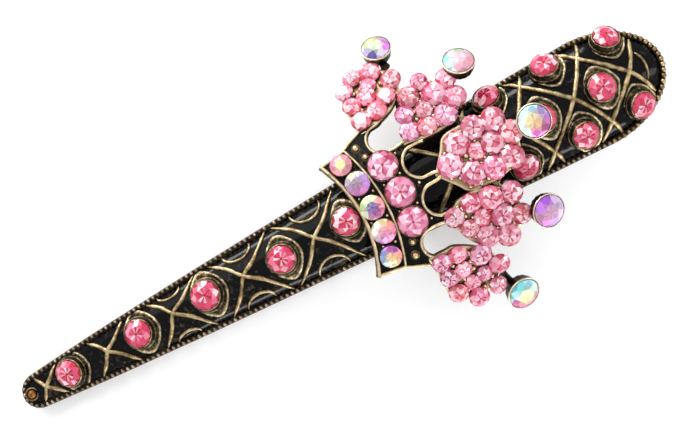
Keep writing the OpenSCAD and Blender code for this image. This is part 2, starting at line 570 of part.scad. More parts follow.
module band_stones() color(aurora)
    for (p = band_at) on_plate(p[0], p[1], 0.21) flat_stone(p[2]*crown_k);
module crown_heart_stones() color(pale_rose)
    for (p = heart_at) on_plate(p[0], p[1], 0.21) flat_stone(p[2]*crown_k);
module petal_stones(k) color(pale_rose)
    for (p = paves[k]) on_petal(k, p[0], p[1], 0.35) flat_stone(p[2]*crown_k);
module point_stone(i) color(aurora)
    translate(point_c(i)) aim(unit(point_at[i][3])) stone(point_d[i]);

lower_arm();
hinge_pin();
torsion_spring();
upper_arm();
arm_posts();
body_casting();
body_lattice();
body_enamel();
taper_stone_cups();
press_stone_cups();
tip_cup();
tip_stud();
taper_stone(0);  // taper_stone_1
taper_stone(1);  // taper_stone_2
taper_stone(2);  // taper_stone_3
taper_stone(3);  // taper_stone_4
taper_stone(4);  // taper_stone_5
press_centre_stones();
press_side_stones();
crown_plate();
crown_trim();
crown_balls();
petal_plates();
petal_struts();
point_cups();
crown_enamel();
crown_posts();
band_stones();
crown_heart_stones();
petal_stones(0);  // petal_1_stones
petal_stones(1);  // petal_2_stones
petal_stones(2);  // petal_3_stones
petal_stones(3);  // petal_4_stones
petal_stones(4);  // petal_5_stones
point_stone(0);  // point_stone_1
point_stone(1);  // point_stone_2
point_stone(2);  // point_stone_3
point_stone(3);  // point_stone_4
point_stone(4);  // point_stone_5
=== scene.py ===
import bpy, bmesh, json, math, random
import numpy as np
from mathutils import Matrix, Vector

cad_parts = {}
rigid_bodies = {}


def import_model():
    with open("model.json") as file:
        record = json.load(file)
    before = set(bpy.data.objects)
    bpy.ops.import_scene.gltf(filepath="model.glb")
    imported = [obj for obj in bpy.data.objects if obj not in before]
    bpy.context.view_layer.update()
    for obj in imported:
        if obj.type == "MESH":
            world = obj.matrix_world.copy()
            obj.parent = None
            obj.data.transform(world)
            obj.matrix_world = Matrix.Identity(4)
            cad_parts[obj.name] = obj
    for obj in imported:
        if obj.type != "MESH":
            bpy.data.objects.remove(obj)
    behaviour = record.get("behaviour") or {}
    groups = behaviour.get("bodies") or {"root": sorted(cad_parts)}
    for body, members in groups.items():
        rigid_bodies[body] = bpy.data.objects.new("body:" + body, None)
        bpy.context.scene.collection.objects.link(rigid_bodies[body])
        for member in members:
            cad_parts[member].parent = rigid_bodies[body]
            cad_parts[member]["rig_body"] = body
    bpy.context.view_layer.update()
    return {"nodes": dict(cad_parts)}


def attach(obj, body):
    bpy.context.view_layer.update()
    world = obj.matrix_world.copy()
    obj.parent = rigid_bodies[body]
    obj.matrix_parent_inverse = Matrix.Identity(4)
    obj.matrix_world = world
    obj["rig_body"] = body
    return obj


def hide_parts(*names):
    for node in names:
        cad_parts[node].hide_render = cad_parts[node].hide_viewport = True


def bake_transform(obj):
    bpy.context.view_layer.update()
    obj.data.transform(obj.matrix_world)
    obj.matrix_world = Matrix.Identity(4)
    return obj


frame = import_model()
MM = 0.001
UP = "upper_jaw"
LOW = "lower_jaw"

# ------------------------------------------------------------------ sizes, mm
TIP_R, TIP_C, END_C, END_A, END_W = 2.75, -67.25, 27.6, 12.4, 8.4
WIDTHS = [(TIP_C, TIP_R), (-61.5, 3.25), (-54, 3.85), (-38, 4.9), (-15.5, 6.15),
          (15, 7.9), (END_C, END_W)]
TAPER = [(-61.1, 0.1, 3.9), (-48.8, 0.3, 4.1), (-37.1, 0.5, 4.3), (-24.6, 0.0, 4.1),
         (-13.65, 0.3, 4.0)]
PRESS = [(18.9, 0, 4.1), (28.9, -0.1, 4.1), (13.4, 5.95, 3.9), (23.2, 6.05, 4.0),
         (33.2, 5.6, 4.0), (13.7, -4.6, 3.9), (23.6, -4.65, 4.0), (33.2, -4.75, 3.9)]
CROSS = [(-65.8, 1.3, 2.7), (-54.5, 2.6, 3.8), (-42.8, 3.4, 5.0), (-30.8, 4.4, 5.6),
         (-18.8, 5.3, 5.3)]
BAND = [(2.6, 8.1, 3.3), (3.5, 4.5, 3.7), (3.75, 0.3, 3.7), (3.6, -3.6, 3.7),
        (2.75, -7.45, 3.3)]
HEART = [(8.15, 5.05, 4.5), (8.6, 0.35, 4.5), (8.15, -4.35, 4.5)]
PAVE = [
    [(8.6, 12.5, 2.6), (8.4, 15.15, 2.5), (8.4, 17.65, 2.4), (11.4, 12.8, 2.6),
     (11.0, 15.4, 2.5), (10.5, 19.05, 2.35), (13.25, 18.6, 2.9), (13.7, 14.05, 2.6),
     (15.6, 15.95, 2.6)],
    [(14.2, 7.6, 2.6), (14.7, 10.2, 2.45), (16.9, 7.05, 2.6), (17.7, 9.5, 2.3),
     (16.5, 12.35, 2.8), (20.2, 7.35, 3.1), (20.2, 11.0, 3.1), (19.1, 13.65, 2.2),
     (23.0, 12.2, 2.7), (22.8, 9.0, 2.9)],
    [(17.1, 0.3, 3.1), (19.6, 2.75, 3.1), (19.6, -2.35, 3.1), (21.7, 0.4, 2.2),
     (22.8, 3.75, 3.1), (22.8, -3.1, 3.1), (24.5, 0.4, 3.0), (26.0, 3.45, 3.0),
     (26.0, -2.9, 3.0), (27.65, 0.5, 2.9)],
    [(14.0, -6.75, 2.6), (15.3, -9.3, 2.4), (17.2, -6.0, 2.6), (17.8, -8.7, 2.3),
     (17.2, -11.55, 2.9), (20.1, -6.6, 3.0), (20.6, -9.75, 3.0), (20.1, -12.9, 3.0),
     (23.4, -7.4, 2.8), (23.3, -11.0, 2.8)],
    [(9.1, -11.95, 2.5), (9.1, -14.45, 2.35), (9.3, -17.15, 2.5), (11.8, -11.85, 2.4),
     (11.6, -14.35, 2.3), (11.9, -19.1, 2.6), (12.0, -16.7, 2.1), (15.0, -13.4, 2.9),
     (16.9, -16.05, 2.7), (15.3, -18.85, 2.3), (14.2, -16.3, 2.1)]]
PETAL = [
    [(7.3, 11.6), (7.2, 17.6), (8.4, 19.0), (11.2, 20.5), (14.6, 19.8), (16.6, 17.6),
     (16.9, 15.4), (15.4, 13.2), (11.2, 11.5)],
    [(12.5, 6.5), (14.5, 11.6), (16.7, 13.9), (18.9, 14.5), (21.4, 14.0), (23.7, 13.1),
     (24.3, 10.3), (23.3, 7.6), (20.4, 5.8), (16.0, 5.9)],
    [(14.4, 0), (18.3, 4.8), (21.8, 5.4), (25.8, 5.3), (28.0, 3.6), (28.9, 1.2),
     (28.9, -1.0), (28.0, -3.2), (25.8, -4.9), (21.8, -5.2), (18.3, -4.8)],
    [(12.5, -6.5), (16.0, -4.9), (20.4, -4.8), (24.3, -6.9), (24.6, -9.6),
     (23.8, -12.3), (21.6, -14.0), (19.0, -14.2), (16.2, -13.2), (14.8, -11.6)],
    [(7.6, -10.8), (12.2, -10.7), (15.9, -12.6), (17.6, -15.2), (17.0, -17.8),
     (14.7, -19.7), (11.9, -20.5), (9.4, -19.0), (8.1, -17.6)]]
PETAL_MID = [(11.7, 15.9), (18.5, 10.0), (22.0, 0), (18.5, -9.7), (12.2, -15.5)]
POINTS = [(16.0, 21.8, 11.2, (0.12, 0.60, 0.79), 4.3), (25.8, 13.75, 16.9, (0.24, 0.56, 0.79), 4.6),
          (31.2, 0.2, 20.6, (-0.06, -0.04, 1), 4.8), (27.1, -12.8, 16.8, (0.25, -0.42, 0.87), 4.9),
          (18.2, -22.3, 11.2, (0.14, -0.62, 0.77), 4.8)]
FOOT = [(15.9, 18.9), (24.3, 12.3), (28.9, 0.2), (24.5, -11.6), (16.6, -18.6)]
STRUT = [(14.6, 12.0, 15.0, 14.0, 1), (21.3, 4.8, 21.3, 6.6, 2), (20.6, -4.4, 20.6, -5.6, 2),
         (15.6, -11.0, 15.9, -13.6, 3)]
BALLS = [(5.75, 9.35, 1.1), (6.45, 7.5, 0.85), (6.65, -7.1, 0.85), (6.1, -9.1, 1.1)]
GRAINS = [(10.7, 5.9, .5), (11.8, .3, .55), (10.9, -5.3, .5), (6.95, 2.45, .5), (7.1, -2.15, .5),
          (9.85, 2.9, .55), (10.05, -2.25, .55), (5.05, 2.45, .5), (2.6, 2.35, .45),
          (5.15, -1.8, .5), (4.4, -5.8, .5), (2.4, -5.6, .45), (2.55, -1.7, .45)]
GIRDLE = 1.45
TIP_Z, SLOPE, END_SLOPE, APEX = 1.9, 0.33, 0.09, -8.0
APEX_Z = TIP_Z + SLOPE * (APEX + 70) / 2
DOME = 0.557


# ------------------------------------------------------------------ surfaces
def table_w(x):
    for (a, p), (b, q) in zip(WIDTHS, WIDTHS[1:]):
        if x <= b:
            return p + (q - p) * (x - a) / (b - a)
    return WIDTHS[-1][1]


def halfw(x, inset=0.0):
    if x <= TIP_C:
        return math.sqrt(max(0.0, (TIP_R - inset) ** 2 - (x - TIP_C) ** 2))
    if x >= END_C:
        return (END_W - inset) * math.sqrt(max(0.0, 1 - ((x - END_C) / (END_A - inset)) ** 2))
    m = min(3.0, x - TIP_C, END_C - x)
    return sum(table_w(x + m * k / 3) for k in range(-3, 4)) / 7 - inset


def zr(x):
    if x < APEX:
        return TIP_Z + SLOPE * (x + 70) - SLOPE * (x + 70) ** 2 / (2 * (APEX + 70))
    return APEX_Z - END_SLOPE * (x - APEX) ** 2 / (2 * (40 - APEX))


def domeh(x):
    if x < 18:
        return DOME * halfw(x)
    return DOME * halfw(18) * math.sqrt(max(0.0, 1 - ((x - 18) / 22.0) ** 2))


def zs(x, y):
    w, h = max(halfw(x), 0.05), max(domeh(x), 0.02)
    r = (w * w + h * h) / (2 * h)
    return zr(x) + math.sqrt(max(0.0, r * r - y * y)) - (r - h)


def unit(v):
    v = np.asarray(v, float)
    return v / max(1e-12, np.linalg.norm(v))


def nrm(x, y):
    return unit([-(zs(x + .1, y) - zs(x - .1, y)) / .2, -(zs(x, y + .1) - zs(x, y - .1)) / .2, 1])


def on_body(x, y):
    return np.array([x, y, zs(x, y)]), nrm(x, y)


CX, CZ, RISE, BEND, CK = -13.0, 17.4, 0.03, 30.0, 0.975


def cx(a):
    return CX + CK * a


def cy(b):
    return CK * b


def czy(x, y):
    return CZ + RISE * (x - CX) - (BEND - math.sqrt(BEND * BEND - y * y))


def on_crown(a, b):
    x, y = cx(a), cy(b)
    return np.array([x, y, czy(x, y)]), unit([-RISE, y / math.sqrt(BEND * BEND - y * y), 1])


def petal_n(k):
    y = cy(PETAL_MID[k][1])
    return unit([-RISE, y / math.sqrt(BEND * BEND - y * y), 1])


def on_petal(k, a, b):
    mx, my = cx(PETAL_MID[k][0]), cy(PETAL_MID[k][1])
    s = my / math.sqrt(BEND * BEND - my * my)
    x, y = cx(a), cy(b)
    return np.array([x, y, czy(mx, my) + RISE * (x - mx) - s * (y - my)])


# ------------------------------------------------------------------ mesh builder
class Mesh:
    """Collects points and faces in mm, with a wear value for each point and a tint for each face; on the cut stones
    the tint holds painted glints and painted shade.
    """

    def __init__(self):
        self.v, self.f, self.w, self.m, self.c = [], [], [], [], []

    def add(self, verts, faces, wear=0.5, mat=0, tint=(1, 1, 1)):
        o = len(self.v)
        self.v += [tuple(float(c) for c in p) for p in verts]
        self.w += list(wear) if hasattr(wear, "__len__") else [wear] * len(verts)
        self.f += [tuple(i + o for i in f) for f in faces]
        self.m += list(mat) if hasattr(mat, "__len__") else [mat] * len(faces)
        self.c += list(tint) if len(tint) and hasattr(tint[0], "__len__") else [tuple(tint)] * len(faces)

    def grid(self, rows, wear=None, close=True, cap0=False, cap1=False, flip=False, **kw):
        """rows of points joined into quads; close joins each row's end to its start."""
        m, n = len(rows), len(rows[0])
        verts = [p for r in rows for p in r]
        faces = []
        for j in range(m - 1):
            for i in range(n if close else n - 1):
                a, b = j * n + i, j * n + (i + 1) % n
                faces.append((a, b, b + n, a + n))
        if cap0:
            faces.append(tuple(range(n - 1, -1, -1)))
        if cap1:
            faces.append(tuple((m - 1) * n + i for i in range(n)))
        if flip:
            faces = [f[::-1] for f in faces]
        w = 0.5 if wear is None else [x for r in wear for x in r]
        self.add(verts, faces, w, **kw)

    def make(self, name, mats, body, slot=None, nodes=(), sharp=38, merge=0.0):
        me = bpy.data.meshes.new(name)
        me.from_pydata([(x * MM, y * MM, z * MM) for x, y, z in self.v], [], self.f)
        for m in mats:
            me.materials.append(m)
        me.polygons.foreach_set("material_index", self.m)
        wear = me.attributes.new("wear", "FLOAT", "POINT")
        wear.data.foreach_set("value", np.clip(np.array(self.w, np.float32), 0, 1))
        tint = me.color_attributes.new("tint", "FLOAT_COLOR", "CORNER")
        cols = []
        for poly in me.polygons:
            cols += list(self.c[poly.index]) * 0 or [*self.c[poly.index], 1.0] * poly.loop_total
        tint.data.foreach_set("color", np.array(cols, np.float32))
        bm = bmesh.new()
        bm.from_mesh(me)
        if merge:
            bmesh.ops.remove_doubles(bm, verts=bm.verts, dist=merge * MM)
        bmesh.ops.dissolve_degenerate(bm, dist=1e-9, edges=bm.edges)
        for f in bm.faces:
            f.smooth = sharp > 0
        lim = math.radians(sharp)
        for e in bm.edges:
            e.smooth = sharp > 0 and len(e.link_faces) == 2 and e.calc_face_angle(0) < lim
        bm.to_mesh(me)
        bm.free()
        me.validate()
        ob = bpy.data.objects.new(name, me)
        bpy.context.scene.collection.objects.link(ob)
        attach(ob, body)
        if nodes:
            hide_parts(*nodes)
        return ob


def spline(pts, step=0.25):
    """Catmull-Rom through the points, resampled at about step."""
    p = [np.asarray(q, float) for q in pts]
    p = [2 * p[0] - p[1]] + p + [2 * p[-1] - p[-2]]
    dense = []
    for i in range(1, len(p) - 2):
        for k in range(24):
            t = k / 24
            dense.append(0.5 * (2 * p[i] + (p[i + 1] - p[i - 1]) * t
                         + (2 * p[i - 1] - 5 * p[i] + 4 * p[i + 1] - p[i + 2]) * t * t
                         + (3 * p[i] - p[i - 1] - 3 * p[i + 1] + p[i + 2]) * t ** 3))
    dense.append(p[-2])
    dense = np.array(dense)
    s = np.concatenate([[0], np.cumsum(np.linalg.norm(np.diff(dense, axis=0), axis=1))])
    n = max(3, int(round(s[-1] / step)) + 1)
    q = np.linspace(0, s[-1], n)
    return np.stack([np.interp(q, s, dense[:, c]) for c in range(dense.shape[1])], 1)


def wire(mb, pts, nrms, hw, h, sink=0.3, seg=9, taper=0.0, closed=False, rnd=None, wob=0.0,
         low=0.15, round_under=False):
    """A raised half-round wire lying on a surface. Its top is worn, its foot is dark."""
    m = len(pts)
    rows, wear = [], []
    ph = rnd.random() * 6 if rnd else 0
    for i in range(m):
        a = pts[(i - 1) % m] if closed else pts[max(i - 1, 0)]
        b = pts[(i + 1) % m] if closed else pts[min(i + 1, m - 1)]
        t, n = unit(b - a), unit(nrms[i])
        s = unit(np.cross(n, t))
        k = 1.0
        if taper and not closed:
            e = min(i, m - 1 - i) / max(1, m - 1)
            k = min(1.0, 0.45 + e / taper * 0.55)
        k *= 1 + wob * (math.sin(i * .31 + ph) * .6 + math.sin(i * .83 + 2 * ph) * .4)
        row, wr = [pts[i] + s * hw * k - n * sink], [0.0]
        for j in range(seg):
            ang = math.pi * j / (seg - 1)
            row.append(pts[i] + s * hw * k * math.cos(ang) + n * h * k * math.sin(ang))
            wr.append(low + (1 - low) * math.sin(ang) ** 1.3)
        row.append(pts[i] - s * hw * k - n * sink)
        wr.append(0.0)
        rows.append(row)
        wear.append(wr)
    if closed:
        rows.append(rows[0])
        wear.append(wear[0])
    mb.grid(rows, wear, close=True, cap0=not closed, cap1=not closed, flip=True)


def frame_on(n, t=None):
    n = unit(n)
    t = np.array([1.0, 0, 0]) if t is None else np.asarray(t, float)
    t = unit(t - n * np.dot(t, n))
    return t, np.cross(n, t), n


def ball(mb, c, axes, radii, seg=10, rings=6, wear=1.0):
    """An ellipsoid bead."""
    e1, e2, e3 = axes
    rows, wr = [], []
    for j in range(rings + 1):
        th = math.pi * j / rings
        rr, zz = max(math.sin(th), 0.02), -math.cos(th)
        rows.append([c + e1 * radii[0] * rr * math.cos(2 * math.pi * i / seg)
                     + e2 * radii[1] * rr * math.sin(2 * math.pi * i / seg)
                     + e3 * radii[2] * zz for i in range(seg)])
        wr.append([max(0.0, min(1.0, (0.25 + 0.75 * zz) * wear))] * seg)
    mb.grid(rows, wr, cap0=True, cap1=True)


def revolve(mb, c, axes, prof, seg=40, wob=None, cap0=False, cap1=False):
    """prof is (radius, height, wear); heights are along the axis."""
    e1, e2, e3 = axes
    rows, wr = [], []
    for r, z, w in prof:
        row = []
        for i in range(seg):
            a = 2 * math.pi * i / seg
            rr = r * (1 + (wob(a, z) if wob else 0))
            row.append(c + e1 * rr * math.cos(a) + e2 * rr * math.sin(a) + e3 * z)
        rows.append(row)
        wr.append([w] * seg)
    mb.grid(rows, wr, cap0=cap0, cap1=cap1)


# ------------------------------------------------------------------ cut stones
def gem(mb, c, axes, d, rot=0.0, depth=None, tint=None, top=0.17, rnd=None, table=0.56):
    """A round brilliant: table, stars, kites and upper girdle facets over a foiled pavilion.
    tint(angle, zone, k) gives each facet's colour, painted glints and painted shade included; zones are table, star,
    kite, upper, main, half, girdle and culet, and the culet's colour also paints a dark disc at the table centre."""
    e1, e2, e3 = axes
    r = d / 2
    depth = 0.36 * d if depth is None else depth
    tint = tint or (lambda a, z, k: (1, 1, 1))

    def pt(rad, ang, z):
        a = math.radians(ang) + rot
        return c + e1 * rad * math.cos(a) + e2 * rad * math.sin(a) + e3 * z

    j = (lambda s: (rnd.random() - .5) * s) if rnd else (lambda s: 0.0)
    T = [pt(r * table * (1 + j(.05)), 45 * i, top * d) for i in range(8)]
    B = [pt(r * 0.79 * (1 + j(.03)), 45 * i + 22.5, top * d * 0.52) for i in range(8)]
    G = [pt(r, 22.5 * i, 0.015 * d) for i in range(16)]
    H = [pt(r, 22.5 * i, -0.02 * d) for i in range(16)]
    P = [pt(r * 0.47 * (1 + j(.08)), 45 * i + 22.5, -depth * 0.60) for i in range(8)]
    K = [pt(r * 0.07, 45 * i, -depth) for i in range(8)]
    V = T + B + G + H + P + K
    t0, b0, g0, h0, p0, k0 = 0, 8, 16, 32, 48, 56
    # a small disc at the table centre takes the culet zone's colour as a painted dark centre; the table's edge
    # midpoints split the table into wedges for painted light and dark
    V += [pt(r * table * 0.18, 22.5 * i, top * d) for i in range(16)]
    V += [(V[i] + V[(i + 1) % 8]) / 2 for i in range(8)]
    F, M, C = [tuple(range(64, 80))], [0], [tint(0, "culet", 0)]

    def face(f, mat, ang, zone, k):
        F.append(f)
        M.append(mat)
        C.append(tint((ang + math.degrees(rot)) % 360, zone, k))

    for i in range(8):
        n = (i + 1) % 8
        q = (i - 1) % 8
        c2 = 64 + (2 * i + 2) % 16
        # table wedges: their colours carry painted light and dark streaks and a painted glint
        face((t0 + i, 80 + i, 65 + 2 * i, 64 + 2 * i), 0, 45 * i + 11, "table", 2 * i)
        face((80 + i, t0 + n, c2, 65 + 2 * i), 0, 45 * i + 34, "table", 2 * i + 1)
        face((t0 + i, b0 + i, t0 + n, 80 + i), 0, 45 * i + 22.5, "star", i)
        face((t0 + i, b0 + q, g0 + 2 * i, b0 + i), 0, 45 * i, "kite", i)
        face((b0 + i, g0 + 2 * i, g0 + 2 * i + 1), 0, 45 * i + 11, "upper", 2 * i)
        face((b0 + i, g0 + 2 * i + 1, g0 + (2 * i + 2) % 16), 0, 45 * i + 34, "upper", 2 * i + 1)
        face((p0 + i, h0 + 2 * i + 1, h0 + 2 * i), 1, 45 * i + 11, "half", 2 * i)
        face((p0 + i, h0 + (2 * i + 2) % 16, h0 + 2 * i + 1), 1, 45 * i + 34, "half", 2 * i + 1)
        face((p0 + q, p0 + i, h0 + 2 * i), 1, 45 * i, "main", i)
        face((k0 + i, k0 + n, p0 + i), 1, 45 * i + 22.5, "main", 8 + i)
        face((k0 + i, p0 + i, p0 + q), 1, 45 * i, "main", i)
    for i in range(16):
        n = (i + 1) % 16
        face((g0 + i, h0 + i, h0 + n, g0 + n), 0, 22.5 * i + 11, "girdle", i)
    F.append(tuple(k0 + i for i in range(7, -1, -1)))
    M.append(1)
    C.append(tint(0, "culet", 0))
    mb.add(V, F, wear=0.5, mat=M, tint=C)


def rose_painted_sparkle(base, seed, spread=0.35, ray_shade=0.66):
    """Paints light and shade onto each facet of a stone of the base colour: every facet a random lighter or darker
    shade, alternate table wedges painted darker as a reflected star, one table wedge painted as a pale glint, painted
    pale flashes on some kites and stars, painted shade on the upper and girdle facets, and a painted dark centre.
    """
    rnd = random.Random(seed)
    vals = [rnd.random() for _ in range(160)]
    off = {"table": 0, "star": 16, "kite": 24, "upper": 32, "main": 48, "half": 64, "girdle": 80, "culet": 96}
    glint_facet = rnd.randrange(16)

    def f(ang, zone, k):
        v = vals[off[zone] + k % 16]
        # painted dark centre; every other facet gets a random painted brightness
        g = 0.38 if zone == "culet" else 1 + spread * (2 * v - 1)
        # table wedges: alternate ones painted darker, one painted as a pale glint
        if zone == "table":
            g = g * (1.10 if k % 2 else ray_shade)
            if k == glint_facet:
                g = 2.4
        # painted pale flashes on some kites and stars
        elif zone in ("kite", "star") and v > 0.84:
            g = 2.2
        # painted shade on the facets round the rim
        elif zone in ("upper", "girdle"):
            g *= 0.56
        c = [b ** (1 / max(g, 0.3)) if g < 1 else 1 - (1 - b) / g for b in base]
        return tuple(min(1.0, max(0.0, x)) for x in c)
    return f


def sector_painted_flashes(table, sectors, seed=1):
    """sectors: list of (angle in the clip's plan, colour); each facet takes the nearest one. The colours are the
    aurora coat's hues with painted reflections, glints and shade; each facet also gets a random painted brightness,
    and the centre is painted darker.
    """
    rnd = random.Random(seed)
    vals = [rnd.random() for _ in range(32)]

    def f(ang, zone, k):
        # painted darker centre
        if zone == "culet":
            return tuple(0.8 * x for x in table)
        # table wedges: a random painted brightness, some mixed with the nearest sector's painted reflection
        if zone == "table":
            g = 0.74 + 0.36 * vals[(k * 7 + 3) % 32]
            near = min(sectors, key=lambda s: abs((ang - s[0] + 180) % 360 - 180))[1]
            m = 0.42 if k % 3 == 0 else 0.12
            return tuple(min(1.0, ((1 - m) * p + m * q) * g) for p, q in zip(table, near))
        # the other facets take the nearest sector's coat hue and painted reflection, with a random painted brightness
        best = min(sectors, key=lambda s: abs((ang - s[0] + 180) % 360 - 180))[1]
        g = 0.50 + 0.66 * vals[(k * 5 + len(zone)) % 32]
        if zone == "star":
            best = tuple(0.55 * p + 0.45 * q for p, q in zip(best, table))
        return tuple(min(1.0, x * g) for x in best)
    return f


# ------------------------------------------------------------------ materials
def new_mat(name):
    m = bpy.data.materials.new(name)
    m.use_nodes = True
    nt = m.node_tree
    b = nt.nodes["Principled BSDF"]
    return m, nt, b


def noise(nt, scale, detail=3.0, rough=0.55, coord=None):
    n = nt.nodes.new("ShaderNodeTexNoise")
    n.inputs["Scale"].default_value = scale
    n.inputs["Detail"].default_value = detail
    n.inputs["Roughness"].default_value = rough
    if coord is not None:
        nt.links.new(coord, n.inputs["Vector"])
    return n


def obj_coord(nt):
    return nt.nodes.new("ShaderNodeTexCoord").outputs["Object"]


def math_node(nt, op, a, b=None, c=None, clamp=False):
    n = nt.nodes.new("ShaderNodeMath")
    n.operation = op
    n.use_clamp = clamp
    for i, v in enumerate((a, b, c)):
        if v is None:
            continue
        if isinstance(v, (int, float)):
            n.inputs[i].default_value = v
        else:
            nt.links.new(v, n.inputs[i])
    return n.outputs[0]


def ramp(nt, fac, stops):
    r = nt.nodes.new("ShaderNodeValToRGB")
    els = r.color_ramp.elements
    while len(els) < len(stops):
        els.new(0.5)
    for e, (p, c) in zip(els, stops):
        e.position = p
        e.color = (*c, 1)
    nt.links.new(fac, r.inputs["Fac"])
    return r.outputs["Color"]


def bump(nt, b, height, strength, dist):
    n = nt.nodes.new("ShaderNodeBump")
    n.inputs["Strength"].default_value = strength
    n.inputs["Distance"].default_value = dist
    nt.links.new(height, n.inputs["Height"])
    nt.links.new(n.outputs["Normal"], b.inputs["Normal"])


def antique(name, stops, rough=(0.62, 0.30), grain=0.35, grit=2600, patch=420, shift=0.0, mottle=0.55, speck=0.40):
    """Worn plated metal: dark patina in the hollows, bright metal where the wear value is high."""
    m, nt, b = new_mat(name)
    co = obj_coord(nt)
    at = nt.nodes.new("ShaderNodeAttribute")
    at.attribute_name = "wear"
    big, fine = noise(nt, patch, 4, 0.6, co), noise(nt, grit, 3, 0.6, co)
    f = math_node(nt, "MULTIPLY_ADD", big.outputs["Fac"], mottle, at.outputs["Fac"])
    f = math_node(nt, "MULTIPLY_ADD", fine.outputs["Fac"], speck, f)
    f = math_node(nt, "ADD", f, -speck / 2 - mottle / 2 + shift, clamp=True)
    nt.links.new(ramp(nt, f, stops), b.inputs["Base Color"])
    b.inputs["Metallic"].default_value = 1.0
    rr = nt.nodes.new("ShaderNodeMapRange")
    rr.inputs["To Min"].default_value, rr.inputs["To Max"].default_value = rough
    nt.links.new(f, rr.inputs["Value"])
    nt.links.new(rr.outputs["Result"], b.inputs["Roughness"])
    h = math_node(nt, "MULTIPLY_ADD", big.outputs["Fac"], 0.7, fine.outputs["Fac"])
    bump(nt, b, h, grain, 0.00012)
    return m


BRONZE = antique("antique_bronze", [(0.0, (0.018, 0.013, 0.009)), (0.30, (0.075, 0.052, 0.030)),
                                    (0.58, (0.27, 0.205, 0.115)), (0.85, (0.56, 0.45, 0.27)),
                                    (1.0, (0.80, 0.70, 0.48))])
BRIGHT = antique("bright_bronze", [(0.0, (0.022, 0.016, 0.011)), (0.28, (0.085, 0.062, 0.040)),
                                   (0.55, (0.18, 0.138, 0.092)), (0.82, (0.33, 0.262, 0.185)),
                                   (1.0, (0.56, 0.46, 0.34))], rough=(0.55, 0.30), grain=0.4)
GOLD = antique("trim_gold", [(0.0, (0.030, 0.020, 0.011)), (0.28, (0.12, 0.080, 0.040)),
                             (0.55, (0.29, 0.198, 0.095)), (0.82, (0.50, 0.370, 0.195)),
                             (1.0, (0.80, 0.66, 0.42))], rough=(0.52, 0.28), grain=0.5, patch=800, mottle=0.9)
PALE = antique("pale_gold", [(0.0, (0.12, 0.070, 0.034)), (0.35, (0.36, 0.235, 0.120)),
                             (0.7, (0.64, 0.47, 0.28)), (1.0, (0.90, 0.74, 0.52))],
               rough=(0.5, 0.28), grain=0.5, grit=3600)
DARK = antique("dark_bronze", [(0.0, (0.010, 0.008, 0.007)), (0.4, (0.05, 0.036, 0.022)),
                               (0.75, (0.17, 0.125, 0.07)), (1.0, (0.45, 0.35, 0.2))],
               rough=(0.55, 0.3), grain=0.3)


def enamel_mat():
    m, nt, b = new_mat("black_enamel")
    co = obj_coord(nt)
    big = noise(nt, 260, 3, 0.5, co)
    fleck = noise(nt, 1500, 3, 0.6, co)
    f = math_node(nt, "MULTIPLY_ADD", big.outputs["Fac"], 0.55, fleck.outputs["Fac"])
    nt.links.new(ramp(nt, f, [(0.0, (0.0012, 0.0012, 0.0016)), (0.86, (0.0022, 0.002, 0.0024)),
                              (0.96, (0.030, 0.024, 0.016)), (1.0, (0.055, 0.044, 0.028))]),
                 b.inputs["Base Color"])
    b.inputs["Roughness"].default_value = 0.09
    b.inputs["IOR"].default_value = 1.21
    wav = noise(nt, 520, 2, 0.5, co)
    bump(nt, b, wav.outputs["Fac"], 0.08, 0.0004)
    return m


ENAMEL = enamel_mat()


def foil_mat(name, rough=0.09, metallic=1.0):
    m, nt, b = new_mat(name)
    at = nt.nodes.new("ShaderNodeAttribute")
    at.attribute_name = "tint"
    co = obj_coord(nt)
    n = noise(nt, 1500, 2, 0.5, co)
    mix = nt.nodes.new("ShaderNodeMix")
    mix.data_type = "RGBA"
    mix.blend_type = "MULTIPLY"
    mix.inputs["Factor"].default_value = 0.55
    nt.links.new(at.outputs["Color"], mix.inputs["A"])
    nt.links.new(ramp(nt, n.outputs["Fac"], [(0.3, (0.62, 0.55, 0.6)), (0.6, (1, 1, 1))]), mix.inputs["B"])
    nt.links.new(mix.outputs["Result"], b.inputs["Base Color"])
    b.inputs["Metallic"].default_value = metallic
    b.inputs["Roughness"].default_value = rough
    return m


def coated_mat(name, metallic=0.35, rough=0.06, coat=0.5):
    """Foil-backed cut glass: each facet shows the tint it was given, painted glints and painted shade included, under
    a hard clear polish.
    """
    m, nt, b = new_mat(name)
    at = nt.nodes.new("ShaderNodeAttribute")
    at.attribute_name = "tint"
    nt.links.new(at.outputs["Color"], b.inputs["Base Color"])
    b.inputs["Metallic"].default_value = metallic
    b.inputs["Roughness"].default_value = rough
    b.inputs["IOR"].default_value = 1.58
    b.inputs["Coat Weight"].default_value = coat
    b.inputs["Coat Roughness"].default_value = 0.015
    return m


ROSE_GLASS = coated_mat("rose_glass", metallic=0.11, rough=0.12, coat=0.24)
PALE_GLASS = coated_mat("pale_rose_glass", metallic=0.09, rough=0.12, coat=0.32)
FOIL = foil_mat("foil")
AURORA = coated_mat("aurora_coat", metallic=0.22, rough=0.18, coat=0.20)
AURORA_SOFT = coated_mat("aurora_coat_side", metallic=0.0, rough=0.34, coat=0.06)


